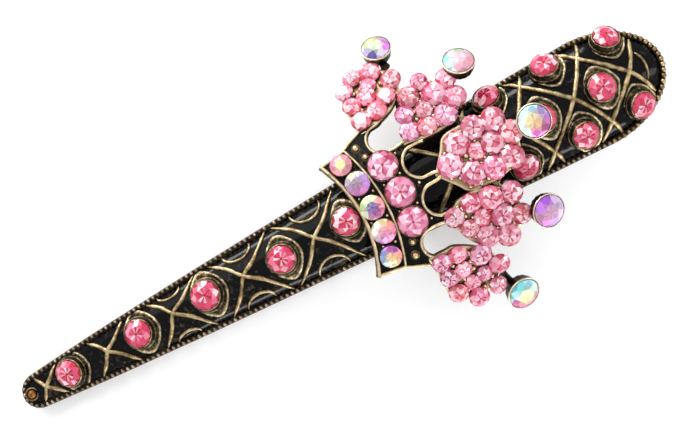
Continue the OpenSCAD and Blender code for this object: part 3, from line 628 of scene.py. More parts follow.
def steel_mat(name, stops, rough=0.34, streak=True):
    m, nt, b = new_mat(name)
    co = obj_coord(nt)
    mp = nt.nodes.new("ShaderNodeMapping")
    mp.inputs["Scale"].default_value = (60, 2400, 900) if streak else (700, 700, 700)
    nt.links.new(co, mp.inputs["Vector"])
    n = noise(nt, 1.0, 4, 0.6, mp.outputs["Vector"])
    big = noise(nt, 160, 3, 0.6, co)
    f = math_node(nt, "MULTIPLY_ADD", n.outputs["Fac"], 0.5, big.outputs["Fac"])
    f = math_node(nt, "MULTIPLY", f, 0.68, clamp=True)
    nt.links.new(ramp(nt, f, stops), b.inputs["Base Color"])
    b.inputs["Metallic"].default_value = 1.0
    rr = nt.nodes.new("ShaderNodeMapRange")
    rr.inputs["To Min"].default_value, rr.inputs["To Max"].default_value = rough - .08, rough + .14
    nt.links.new(n.outputs["Fac"], rr.inputs["Value"])
    nt.links.new(rr.outputs["Result"], b.inputs["Roughness"])
    bump(nt, b, n.outputs["Fac"], 0.15, 0.00008)
    return m


FINDING = steel_mat("finding_plated_steel", [(0.25, (0.085, 0.060, 0.036)), (0.5, (0.22, 0.168, 0.105)),
                                             (0.75, (0.38, 0.300, 0.195))])
SPRING = steel_mat("spring_wire_steel", [(0.3, (0.36, 0.35, 0.34)), (0.7, (0.62, 0.62, 0.63))], rough=0.26)
COPPER = antique("copper_stud", [(0.0, (0.03, 0.012, 0.006)), (0.4, (0.15, 0.055, 0.018)),
                                 (0.75, (0.40, 0.155, 0.050)), (1.0, (0.66, 0.32, 0.12))],
                 rough=(0.6, 0.42), grain=0.9, patch=1200, mottle=0.9, speck=0.7, shift=-0.08)


# ------------------------------------------------------------------ body casting
def outline(step=0.5):
    """Plan outline of the casting: list of (x, y, outward x, outward y, medial x)."""
    half = []
    for i in range(25):
        q = math.radians(90 * i / 24)
        half.append((TIP_C - TIP_R * math.cos(q), TIP_R * math.sin(q)))
    n = int((END_C - TIP_C) / step)
    for i in range(1, n):
        x = TIP_C + (END_C - TIP_C) * i / n
        half.append((x, halfw(x)))
    for i in range(41):
        q = math.radians(90 * i / 40)
        half.append((END_C + END_A * math.sin(q), END_W * math.cos(q)))
    pts = half + [(x, -y) for x, y in half[-2:0:-1]]
    out = []
    m = len(pts)
    for i, (x, y) in enumerate(pts):
        a, b = pts[(i - 1) % m], pts[(i + 1) % m]
        tx, ty = b[0] - a[0], b[1] - a[1]
        l = math.hypot(tx, ty)
        out.append((x, y, -ty / l, tx / l, min(max(x, TIP_C), END_C + 2.5)))
    return out


OUT = outline()


def inset(p, d):
    return p[0] - d * p[2], p[1] - d * p[3]


def dome_rows(d, n, z, start=0.0):
    """Rows from the inset outline in to the middle line of the casting."""
    rows = []
    for j in range(n + 1):
        s = start + (1 - start) * j / n
        row = []
        for p in OUT:
            x0, y0 = inset(p, d)
            x, y = x0 + (p[4] - x0) * s, y0 * (1 - s)
            row.append(np.array([x, y, z(x, y)]))
        rows.append(row)
    return rows


def shell():
    mb = Mesh()
    bed = [zs(*inset(p, 0.9)) for p in OUT]
    prof = []

    def ring(d, zf, w):
        row = [np.array([*inset(p, d), zf(i, p)]) for i, p in enumerate(OUT)]
        prof.append((row, [w] * len(row)))

    # from the inner foot of the wall, down, out, up the wall and over the bead bed
    ring(1.0, lambda i, p: zr(p[0]) - 0.35, 0.2)
    ring(1.0, lambda i, p: zr(p[0]) - 0.62, 0.3)
    ring(0.92, lambda i, p: zr(p[0]) - 0.70, 0.6)
    ring(0.10, lambda i, p: zr(p[0]) - 0.70, 0.6)
    ring(0.02, lambda i, p: zr(p[0]) - 0.62, 0.75)
    ring(0.0, lambda i, p: zr(p[0]) - 0.45, 0.45)
    ring(0.0, lambda i, p: zr(p[0]) + 0.15, 0.3)
    ring(0.03, lambda i, p: zr(p[0]) + 0.5 * (bed[i] - zr(p[0])), 0.25)
    ring(0.07, lambda i, p: bed[i] - 0.12, 0.35)
    ring(0.12, lambda i, p: bed[i] - 0.02, 0.3)
    ring(0.45, lambda i, p: bed[i] + 0.0, 0.05)
    ring(0.82, lambda i, p: bed[i] + 0.02, 0.1)
    ring(0.86, lambda i, p: bed[i] - 0.25, 0.05)
    rows = [r for r, _ in prof]
    wear = [w for _, w in prof]
    for r in dome_rows(0.95, 8, lambda x, y: zs(x, y) - 0.25):
        rows.append(r)
        wear.append([0.05] * len(r))
    mb.grid(rows, wear)
    under = dome_rows(1.0, 8, lambda x, y: max(zs(x, y) - 1.1, zr(x) - 0.35))
    mb.grid(under, [[0.2] * len(r) for r in under], flip=True)
    return mb.make("casting_shell", [BRONZE], UP, "antique_bronze", ["body_casting"],
                   sharp=42, merge=0.004)


def milgrain():
    """The row of beads round the rim: rope-like ticks on the sides, round grains at the wide end."""
    mb, wide = Mesh(), Mesh()
    rnd = random.Random(11)
    pts = np.array([[*inset(p, 0.44), 0] for p in OUT] + [[*inset(OUT[0], 0.44), 0]])
    s = np.concatenate([[0], np.cumsum(np.linalg.norm(np.diff(pts, axis=0), axis=1))])
    n = int(s[-1] / 0.86)
    for k in range(n):
        q = s[-1] * (k + 0.5) / n
        x, y = np.interp(q, s, pts[:, 0]), np.interp(q, s, pts[:, 1])
        x2, y2 = np.interp(q + .3, s, pts[:, 0]), np.interp(q + .3, s, pts[:, 1])
        t = unit([x2 - x, y2 - y, zr(x2) - zr(x)])
        out = unit(np.cross(t, [0, 0, 1]))
        if np.dot(out, [x - min(max(x, TIP_C), END_C + 2.5), y, 0]) < 0:
            out = -out
        bed = zs(x - out[0] * 0.46, y - out[1] * 0.46)
        end = min(1.0, max(0.0, (x - 22) / 10))
        up = unit(np.cross(out, t))
        up = up if up[2] > 0 else -up
        tilt = (1 - end) * 0.42
        e1 = unit(t * math.cos(tilt) + out * math.sin(tilt))
        e2 = unit(np.cross(up, e1))
        g = 1 + (rnd.random() - .5) * 0.14
        ball(wide if end > 0.5 else mb, np.array([x, y, bed + 0.02]) + out * (0.05 + (rnd.random() - .5) * .05),
             (e1, e2, up), ((0.29 + 0.13 * end) * g, (0.38 + 0.07 * end) * g, (0.32 + 0.12 * end) * g),
             seg=10, rings=7, wear=0.56 + 0.5 * rnd.random() - 0.16 * end)
    wide.make("casting_wide_end_beads", [GOLD], UP, "antique_bronze", sharp=80)
    return mb.make("casting_milgrain", [BRIGHT], UP, "antique_bronze", sharp=80)


def enamel():
    mb = Mesh()
    rows = dome_rows(0.83, 16, lambda x, y: zs(x, y))
    lowr = [[p - np.array([0, 0, 0.16]) for p in rows[0]]]
    mb.grid(lowr + rows)
    return mb.make("casting_enamel", [ENAMEL], UP, "black_enamel", ["body_enamel"], sharp=70, merge=0.004)


def surf(path):
    pts, ns = [], []
    for x, y in path:
        p, n = on_body(x, y)
        pts.append(p)
        ns.append(n)
    return pts, ns


def lattice():
    mb = Mesh()
    rnd = random.Random(5)

    def run(ctrl, hw=0.35, h=0.36, taper=0.12):
        pts, ns = surf(spline(ctrl, 0.3))
        wire(mb, pts, ns, hw, h, sink=0.25, taper=taper, rnd=rnd, wob=0.12, low=0.12)

    for i, (x, f, b) in enumerate(CROSS):
        for s in (-1, 1):
            xf, xb = x - f, x + b
            wf, wb = halfw(xf) - 0.85, halfw(xb) - 0.85
            k = 0.16 + 0.03 * i
            yc = (0.0, 0.30, 0.60, 0.48, 0.50)[i]
            run([(xf, s * wf), (x - f * .45, s * wf * (.45 + k * .3) + yc * .6), (x - yc * .4, yc),
                 (x + b * .45, -s * wb * (.45 - k * .25) + yc * .6), (xb, -s * wb)])
            if i >= 2:
                # short curved bar between the arms, along the rim
                xm, l, dp = x + 0.4, (1.9, 2.3, 2.5)[i - 2], (0.9, 1.5, 1.9)[i - 2]
                y0 = halfw(xm) - 0.95
                run([(xm - l * math.cos(a), s * (y0 - dp * math.sin(a)))
                     for a in np.linspace(0, math.pi, 9)], 0.26, 0.28, 0.1)
    for k in range(3):
        for s in (-1, 1):
            a, b = 29.2 - 9.8 * k, 16.6 - 9.8 * k
            run([(a, s * (halfw(a) - 0.85)), (28.4 - 9.8 * k, 5.45 * s + 0.25), (24.65 - 9.8 * k, 0.35),
                 (18.6 - 9.8 * k, -5.45 * s + 0.25), (b, -s * (halfw(b) - 0.85))], 0.41, 0.40, 0.06)
    for s in (-1, 1):
        run([(36.6, 4.3 * s), (34.1, 0), (28.1, -5.45 * s), (25.8, -7.3 * s)], 0.41, 0.40, 0.06)
    run([(36.9 - 0.05 * q * q, 0.62 * q) for q in (-3.6, -2, 0, 2, 3.6)], 0.25, 0.3, 0.15)
    return mb.make("casting_lattice", [BRONZE_WIRE], UP, "antique_bronze", ["body_lattice"], sharp=60)


BRONZE_WIRE = antique("lattice_bronze", [(0.0, (0.020, 0.013, 0.007)), (0.30, (0.080, 0.052, 0.026)),
                                         (0.55, (0.19, 0.130, 0.060)), (0.82, (0.34, 0.245, 0.122)),
                                         (1.0, (0.56, 0.44, 0.25))], rough=(0.62, 0.36), grain=1.0, patch=700, shift=-0.05, mottle=1.9, speck=0.7)


def cup(mb, x, y, d, seed):
    """Leaf-shaped collar that follows the dome, with the raised stone cup on it."""
    rnd = random.Random(seed)
    p0, n = on_body(x, y)
    seg = 72
    ph = rnd.random() * 6

    def leaf(k, h, w):
        row = []
        for i in range(seg):
            a = 2 * math.pi * i / seg
            c, s = math.cos(a), math.sin(a)
            r = 1 / ((abs(c) / (0.72 * d)) ** 1.6 + (abs(s) / (0.88 * d)) ** 1.6) ** (1 / 1.6)
            r = (r + 0.03 * math.sin(3 * a + ph) + 0.025 * math.sin(7 * a + 2 * ph)) * k
            px, py = x + 0.35 + r * c, y + r * s * (0.62 + 0.38 * n[2] ** 2)
            lim = halfw(px) - 0.95
            py = max(-lim, min(lim, py))
            q, m = on_body(px, py)
            row.append(q + m * (h + (0.045 * math.sin(5 * a + ph) + 0.03 * math.sin(11 * a) if h > 0.12 else 0)))
        return row, [w] * seg

    rows = [leaf(1.0, -0.1, 0.0), leaf(1.0, 0.10, 0.20), leaf(0.965, 0.28, 0.70), leaf(0.90, 0.31, 0.86),
            leaf(0.85, 0.22, 0.40), leaf(0.79, 0.17, 0.22), leaf(0.73, 0.16, 0.12), leaf(0.66, 0.2, 0.05)]
    mb.grid([r for r, _ in rows], [w for _, w in rows], flip=False)
    axes = frame_on(n)
    r = d / 2
    rib = lambda a, z: 0.018 * math.sin(34 * a) * (1 if z < 0.9 else 0) + 0.008 * math.sin(3 * a + ph)
    revolve(mb, p0, axes, [(r + 0.58, -0.4, 0.02), (r + 0.55, 0.32, 0.20), (r + 0.46, 0.48, 0.55),
                           (r + 0.36, 0.50, 0.16), (r + 0.29, 0.75, 0.12), (r + 0.22, GIRDLE - 0.32, 0.20),
                           (r + 0.19, GIRDLE - 0.12, 0.45), (r + 0.16, GIRDLE - 0.01, 0.82),
                           (r + 0.10, GIRDLE + 0.02, 0.6), (r + 0.03, GIRDLE - 0.02, 0.4),
                           (r - 0.02, GIRDLE - 0.2, 0.1), (r * 0.4, GIRDLE - 1.3, 0.0)], seg=72, wob=rib)


def stone_cups():
    for name, items, node in (("taper", TAPER, "taper_stone_cups"), ("press", PRESS, "press_stone_cups")):
        mb = Mesh()
        for i, (x, y, d) in enumerate(items):
            cup(mb, x, y, d, 20 + i)
        mb.make(f"{name}_cups", [BRONZE_CUP], UP, "antique_bronze", [node], sharp=50)
    # dark cup and copper stud at the tip
    mb = Mesh()
    x = -68.45
    p, n = on_body(x, 0)
    axes = frame_on([0, 0, 1])
    revolve(mb, p, axes, [(1.12, -0.5, 0.1), (1.1, 0.1, 0.3), (1.02, 0.36, 0.7), (0.9, 0.42, 0.8),
                          (0.78, 0.36, 0.4), (0.74, 0.05, 0.05), (0.1, 0.03, 0.0)], seg=36, cap1=True)
    mb.make("tip_cup_ring", [DARK], UP, "antique_bronze", ["tip_cup"], sharp=60)
    mb = Mesh()
    revolve(mb, p, axes, [(0.66, 0.07, 0.2), (0.68, 0.3, 0.4), (0.64, 0.5, 0.6), (0.52, 0.68, 0.75),
                          (0.33, 0.80, 0.8), (0.1, 0.84, 0.7)], seg=32, cap0=True, cap1=True)
    mb.make("tip_stud_head", [COPPER], UP, "copper", ["tip_stud"], sharp=60)


BRONZE_CUP = antique("cup_bronze", [(0.0, (0.014, 0.010, 0.007)), (0.30, (0.055, 0.040, 0.024)),
                                    (0.55, (0.18, 0.138, 0.075)), (0.82, (0.38, 0.30, 0.17)),
                                    (1.0, (0.66, 0.55, 0.35))], rough=(0.6, 0.28), grain=1.3, grit=2400, patch=900, mottle=1.5, speck=1.3, shift=0.02)

ROSE = (0.64, 0.064, 0.162)
ROSE_PALE = (0.73, 0.255, 0.350)
HEARTC = (0.69, 0.245, 0.385)


def body_stones():
    groups = [(f"taper_stone_{i + 1}", [TAPER[i]]) for i in range(5)]
    groups += [("press_centre_stones", PRESS[:2]), ("press_side_stones", PRESS[2:])]
    seed = 100
    for node, items in groups:
        mb = Mesh()
        for x, y, d in items:
            seed += 1
            rnd = random.Random(seed)
            p, n = on_body(x, y)
            n2 = unit(n + np.array([rnd.random() - .5, rnd.random() - .5, 0]) * 0.22)
            if 20 < x < 26 and y > 4:
                n2 = unit(n2 + np.array([0.10, -0.15, 0]))
            gem(mb, p + n * (GIRDLE + 0.03), frame_on(n2), d * 1.02, rot=rnd.random() * .8, depth=0.38 * d,
                tint=rose_painted_sparkle(ROSE, seed, 0.45), rnd=rnd)
        mb.make(node + "_cut", [ROSE_GLASS, FOIL], UP, "rose_glass", [node], sharp=0)


# ------------------------------------------------------------------ crown
def band_lo(b):
    return 1.85 - b * b * 0.0245


def band_hi(b):
    return 5.9 - b * b * 0.0192


def scallop(b):
    u = abs(b)
    if u < 0.5:
        return 14.9
    if u < 5.85:
        return 13.4 - math.sqrt(max(0.0, 2.72 ** 2 - (u - 3.2) ** 2))
    if u < 6.9:
        return 12.9
    if u < 10.95:
        return 9.75 - math.sqrt(max(0.0, 2.25 ** 2 - (u - 8.85) ** 2))
    return 7.6


def crown_surf(path):
    pts, ns = [], []
    for a, b in path:
        p, n = on_crown(a, b)
        pts.append(p)
        ns.append(n)
    return pts, ns


def crown_low(b):
    u = abs(b)
    if u <= 9.15:
        return band_lo(b)
    if u <= 9.95:
        return band_lo(9.15) + (u - 9.15) * 5.2
    return 3.9 + (u - 9.95) * 2.0


def crown_plate():
    bs = sorted(set([round(-11.4 + 0.15 * i, 3) for i in range(153)]
                    + [s * v for s in (-1, 1) for v in (0.48, 0.52, 5.83, 5.87, 6.88, 6.92, 10.93, 10.97, 11.4)]))
    mb = Mesh()
    n = 14
    top, bot = [], []
    for b in bs:
        lo, hi = crown_low(b), scallop(b)
        rt, rb = [], []
        for j in range(n + 1):
            a = lo + (hi - lo) * j / n
            p, m = on_crown(a, b)
            rt.append(p - m * 0.14)
            rb.append(p - m * 1.0)
        top.append(rt)
        bot.append(rb)
    mb.grid([t + u[::-1] for t, u in zip(top, bot)],
            [[0.25] * (n + 1) + [0.35] * (n + 1) for _ in bs], cap0=True, cap1=True, flip=True)
    mb.make("crown_base", [DARK], UP, "antique_bronze", ["crown_plate"], sharp=40)
    # dark enamel floor
    mb = Mesh()
    rows = []
    for i in range(61):
        b = -9.7 + 19.4 * i / 60
        lo = max(band_lo(b), band_lo(9.15) + (abs(b) - 9.15) * 5.2) + 0.25
        rows.append([on_crown(lo + (band_hi(b) - 0.2 - lo) * j / 8, b)[0] for j in range(9)])
    mb.grid(rows, close=False, flip=True)
    rows = []
    for b in bs:
        if abs(b) > 10.95:
            continue
        lo = (band_hi(b) if abs(b) < 9.95 else crown_low(b)) + 0.2
        hi = max(lo + 0.05, scallop(b) - 0.25)
        rows.append([on_crown(lo + (hi - lo) * j / 10, b)[0] - np.array([0, 0, 0.02]) for j in range(11)])
    mb.grid(rows, close=False, flip=True)
    mb.make("crown_enamel_floor", [ENAMEL], UP, "black_enamel", ["crown_enamel"], sharp=60)


def crown_trim():
    mb = Mesh()
    rnd = random.Random(3)

    def run(path, hw, h, step=0.3, taper=0.0, sink=0.5):
        pts, ns = crown_surf(spline(path, step))
        wire(mb, pts, ns, hw, h, sink=sink, taper=taper, rnd=rnd, wob=0.09, low=0.2)

    # the band's frame is one closed wire
    lo = [(band_lo(b) + 0.05, b) for b in np.linspace(-9.3, 9.3, 25)]
    hi = [(band_hi(b), b) for b in np.linspace(9.85, -9.85, 25)]
    run([(lo[0][0] - .12, lo[0][1] - .12)] + lo + [(lo[-1][0] - .12, lo[-1][1] + .12)], 0.36, 0.52)
    run(hi, 0.27, 0.46)
    for s in (-1, 1):
        run([(-0.35, 9.25 * s), (1.2, 9.45 * s), (2.7, 9.66 * s), (4.1, 9.92 * s)], 0.30, 0.46)
        run([(4.0, 9.95 * s), (5.6, 10.7 * s), (7.35, 11.4 * s), (7.8, 12.0 * s)], 0.27, 0.36)
        # inner loop hangs between the petals' feet
        run([(15.3, (3.2 + 2.45) * s), (14.4, (3.2 + 2.6) * s)]
            + [(13.4 - 2.6 * math.cos(math.radians(q)), (3.2 + 2.6 * math.sin(math.radians(q))) * s)
               for q in range(75, -76, -15)] + [(14.3, .62 * s), (15.1, .42 * s)], 0.30, 0.42)
        # outer loop, open to the background
        run([(14.0, 7.0 * s), (12.2, 6.75 * s), (10.6, 6.6 * s)]
            + [(9.8 - 2.25 * math.cos(math.radians(q)), (8.85 - 2.25 * math.sin(math.radians(q))) * s)
               for q in range(75, -76, -15)] + [(10.4, 11.1 * s), (11.0, 11.4 * s)], 0.28, 0.40)
    mb.make("crown_frame_wires", [GOLD], UP, "antique_bronze", ["crown_trim"], sharp=60)
    mb = Mesh()
    for a, b, d in BALLS:
        p, n = on_crown(a, b)
        ball(mb, p + n * 0.12, frame_on(n), (d / 2, d / 2, d / 2), seg=16, rings=10)
        revolve(mb, p, frame_on(n), [(d / 2 + .2, -0.05, .1), (d / 2 + .14, .06, .4), (d / 2 - .02, .1, .2)], seg=20)
    for a, b, d in GRAINS:
        p, n = on_crown(a, b)
        ball(mb, p + n * 0.1, frame_on(n), (d / 2, d / 2, d / 2 * 1.1), seg=10, rings=6)
    mb.make("crown_grain_balls", [GOLD], UP, "antique_bronze", ["crown_balls"], sharp=80)


def smooth_loop(pts, n=3, pull=1.0):
    """Closed Catmull-Rom outline."""
    p = [np.array(q, float) for q in pts]
    m = len(p)
    out = []
    for i in range(m):
        a, b, c, d = p[(i - 1) % m], p[i], p[(i + 1) % m], p[(i + 2) % m]
        for k in range(n):
            t = k / n
            out.append(0.5 * (2 * b + (c - a) * t + (2 * a - 5 * b + 4 * c - d) * t * t
                              + (3 * b - a - 3 * c + d) * t ** 3))
    return out


def grow(loop, d):
    m = len(loop)
    out = []
    area = sum(loop[i][0] * loop[(i + 1) % m][1] - loop[(i + 1) % m][0] * loop[i][1] for i in range(m))
    sg = 1 if area > 0 else -1
    for i in range(m):
        t = loop[(i + 1) % m] - loop[(i - 1) % m]
        t = t / max(1e-9, np.linalg.norm(t))
        out.append(loop[i] + sg * d * np.array([t[1], -t[0]]))
    return out


def petals():
    plates = Mesh()
    grains = Mesh()
    for k in range(5):
        n = petal_n(k)
        base, first, last = (np.array(PETAL[k][i], float) for i in (0, 1, -1))
        loop = smooth_loop([base, base + (first - base) * .2, base + (first - base) * .6] + PETAL[k][1:]
                           + [base + (last - base) * .6, base + (last - base) * .2], 4)
        root = (base + last) / 2 if k in (0, 4) else base
        reach = [np.linalg.norm(q - root) for q in loop]
        slim = [min(1.0, max(0.0, (r / max(reach) - 0.38) / 0.5)) for r in reach]
        loop = [p * (1 - t) + q * t for p, q, t in zip(grow(loop, 0.04), grow(loop, -0.72), slim)]
        rings = [(-0.22, -1.0, .3), (-0.02, -0.92, .5), (0.05, -0.7, .55), (0.06, -0.3, .6),
                 (0.0, -0.08, .85), (-0.12, 0.0, .8), (-0.45, 0.01, .45)]
        rows, wear = [], []
        for d, z, w in rings:
            rows.append([on_petal(k, *q) + n * z for q in grow(loop, d)])
            wear.append([w] * len(loop))
        c = np.mean(loop, axis=0)
        for f in (0.75, 0.5, 0.25, 0.04):
            rows.append([on_petal(k, *(c + (q - c) * f * 0.95)) + n * 0.01 for q in loop])
            wear.append([0.4] * len(loop))
        plates.grid(rows, wear, cap0=True, cap1=True)
        # gold grains in the gaps between the stones
        rnd = random.Random(40 + k)
        placed = []
        inner = grow(loop, -0.55)
        for _ in range(2600):
            q = np.array([rnd.uniform(min(p[0] for p in loop), max(p[0] for p in loop)),
                          rnd.uniform(min(p[1] for p in loop), max(p[1] for p in loop))])
            if not inside(q, inner):
                continue
            gap = min(math.hypot(q[0] - a, q[1] - b) - d / 2 for a, b, d in PAVE[k])
            if gap < 0.30 or any(np.linalg.norm(q - o) < 0.95 for o in placed):
                continue
            placed.append(q)
            r = min(0.36, gap + 0.10)
            ball(grains, on_petal(k, *q) + n * 0.22, frame_on(n), (r, r, r * 1.25), seg=10, rings=6)
    ball(grains, on_petal(2, 19.85, .45) + petal_n(2) * 0.42, frame_on(petal_n(2)), (.42, .42, .5), seg=14, rings=8)
    plates.make("petal_backs", [PALE], UP, "antique_bronze", ["petal_plates"], sharp=40)
    grains.make("petal_grains", [PALE], UP, "antique_bronze", sharp=80)


def inside(q, loop):
    c = False
    for i in range(len(loop)):
        a, b = loop[i - 1], loop[i]
        if (a[1] > q[1]) != (b[1] > q[1]) and q[0] < (b[0] - a[0]) * (q[1] - a[1]) / (b[1] - a[1]) + a[0]:
            c = not c
    return c


def crown_stones():
    seed = 300
    for k in range(5):
        mb = Mesh()
        n = petal_n(k)
        for a, b, d in PAVE[k] + ([(12.15, 16.85, 2.0)] if k == 0 else []):
            seed += 1
            rnd = random.Random(seed)
            n2 = unit(n + np.array([rnd.random() - .5, rnd.random() - .5, 0]) * 0.22)
            # painted light and shade: each petal's stones as a whole are painted brighter or darker
            shade = (1.04, 1.0, 0.97, 0.88, 0.92)[k]
            base = tuple(min(1, c * shade * (0.9 + 0.22 * rnd.random())) for c in ROSE_PALE)
            dd = d * CK * (1.24 + 0.07 * rnd.random())
            gem(mb, on_petal(k, a, b) + n * (0.50 + 0.26 * rnd.random()), frame_on(n2), dd,
                rot=rnd.random() * .8, depth=0.50, tint=rose_painted_sparkle(base, seed, 0.62, 0.84), top=0.19, rnd=rnd)
        mb.make(f"petal_{k + 1}_cut_stones", [PALE_GLASS, FOIL], UP, "pale_rose_glass",
                [f"petal_{k + 1}_stones"], sharp=0)
    mb = Mesh()
    for i, (a, b, d) in enumerate(HEART):
        p, n = on_crown(a, b)
        rnd = random.Random(400 + i)
        gem(mb, p + n * 0.62, frame_on(n), d * CK * 1.02, rot=.2 + .3 * i, depth=0.66,
            tint=rose_painted_sparkle(HEARTC, 400 + i, 0.72), top=0.16, rnd=rnd)
    mb.make("heart_cut_stones", [PALE_GLASS, FOIL], UP, "pale_rose_glass", ["crown_heart_stones"], sharp=0)
    # low collars under the heart and band stones
    mb = Mesh()
    for a, b, d in HEART:
        p, n = on_crown(a, b)
        r = d * CK / 2
        revolve(mb, p, frame_on(n), [(r + .30, -.1, .1), (r + .24, .25, .5), (r + .14, .50, .9), (r + .05, .48, .6),
                                     (r - .02, .3, .1)], seg=40)
    for a, b, d in BAND:
        p, n = on_crown(a, b)
        r = d * CK / 2
        revolve(mb, p, frame_on(n), [(r + .24, -.1, .1), (r + .18, .2, .4), (r + .10, .38, .8), (r + .02, .36, .5),
                                     (r - .03, .2, .1)], seg=36)
    mb.make("crown_stone_collars", [BRONZE_CUP], UP, "antique_bronze", sharp=60)


# per band stone: the table colour and (angle, colour) sectors, read from one view: the aurora coat's hues mixed with
# painted reflections, pale painted glints and dark painted shade
AB_BAND_COAT_AND_REFLECTIONS = [
    ((0.66, 0.76, 0.28), [(45, (0.84, 0.30, 0.40)), (135, (0.80, 0.24, 0.40)), (225, (0.86, 0.34, 0.40)), (315, (0.84, 0.28, 0.40))]),
    ((0.30, 0.22, 0.30), [(62, (0.72, 0.66, 0.84)), (107, (0.86, 0.76, 0.30)), (152, (0.82, 0.72, 0.84)), (200, (0.70, 0.38, 0.66)),
                          (242, (0.64, 0.20, 0.50)), (287, (0.76, 0.24, 0.56)), (332, (0.54, 0.22, 0.66)), (15, (0.60, 0.36, 0.76))]),
    ((0.12, 0.07, 0.36), [(332, (0.82, 0.22, 0.32)), (17, (0.84, 0.34, 0.34)), (62, (0.90, 0.80, 0.48)), (107, (0.66, 0.82, 0.32)),
                          (152, (0.66, 0.84, 0.36)), (197, (0.88, 0.88, 0.62)), (242, (0.86, 0.40, 0.58)), (287, (0.80, 0.22, 0.48))]),
    ((0.74, 0.30, 0.38), [(332, (0.82, 0.24, 0.36)), (17, (0.88, 0.34, 0.28)), (62, (0.92, 0.76, 0.38)), (107, (0.95, 0.87, 0.60)),
                          (152, (0.95, 0.91, 0.82)), (190, (0.86, 0.60, 0.70)), (222, (0.52, 0.20, 0.62)), (255, (0.72, 0.20, 0.52)),
                          (292, (0.80, 0.26, 0.48))]),
    ((0.90, 0.64, 0.25), [(332, (0.88, 0.34, 0.24)), (10, (0.80, 0.22, 0.46)), (50, (0.64, 0.12, 0.58)), (85, (0.60, 0.14, 0.62)),
                          (130, (0.36, 0.40, 0.82)), (165, (0.40, 0.56, 0.86)), (200, (0.68, 0.84, 0.86)), (242, (0.94, 0.82, 0.54)),
                          (290, (0.90, 0.54, 0.30))])]
# the same for the five point stones: coat hues with painted reflections, glints and shade
AB_POINT_COAT_AND_REFLECTIONS = [
    ((0.46, 0.56, 0.26), [(352, (0.60, 0.16, 0.62)), (30, (0.64, 0.26, 0.64)), (82, (0.48, 0.62, 0.18)), (120, (0.56, 0.66, 0.30)),
                          (162, (0.72, 0.70, 0.80)), (200, (0.64, 0.60, 0.82)), (238, (0.07, 0.045, 0.28)), (285, (0.66, 0.56, 0.78))]),
    ((0.66, 0.44, 0.50), [(332, (0.72, 0.30, 0.38)), (20, (0.70, 0.42, 0.60)), (72, (0.34, 0.64, 0.32)), (112, (0.60, 0.50, 0.72)),
                          (160, (0.26, 0.66, 0.70)), (210, (0.54, 0.74, 0.72)), (262, (0.70, 0.34, 0.42))]),
    ((0.86, 0.62, 0.24), [(17, (0.50, 0.34, 0.78)), (72, (0.42, 0.66, 0.82)), (112, (0.44, 0.74, 0.80)), (152, (0.86, 0.90, 0.88)),
                          (200, (0.70, 0.86, 0.78)), (246, (0.68, 0.12, 0.52)), (290, (0.70, 0.14, 0.42)), (332, (0.60, 0.16, 0.54))]),
    ((0.62, 0.34, 0.46), [(90, (0.44, 0.12, 0.76)), (130, (0.56, 0.20, 0.80)), (180, (0.80, 0.38, 0.60)), (230, (0.70, 0.24, 0.70)),
                          (275, (0.56, 0.38, 0.86)), (320, (0.80, 0.54, 0.80)), (20, (0.74, 0.56, 0.86))]),
    ((0.74, 0.82, 0.30), [(10, (0.62, 0.80, 0.84)), (60, (0.34, 0.72, 0.80)), (110, (0.20, 0.72, 0.80)), (160, (0.40, 0.72, 0.74)),
                          (205, (0.66, 0.14, 0.36)), (250, (0.76, 0.18, 0.38)), (300, (0.84, 0.36, 0.46))])]


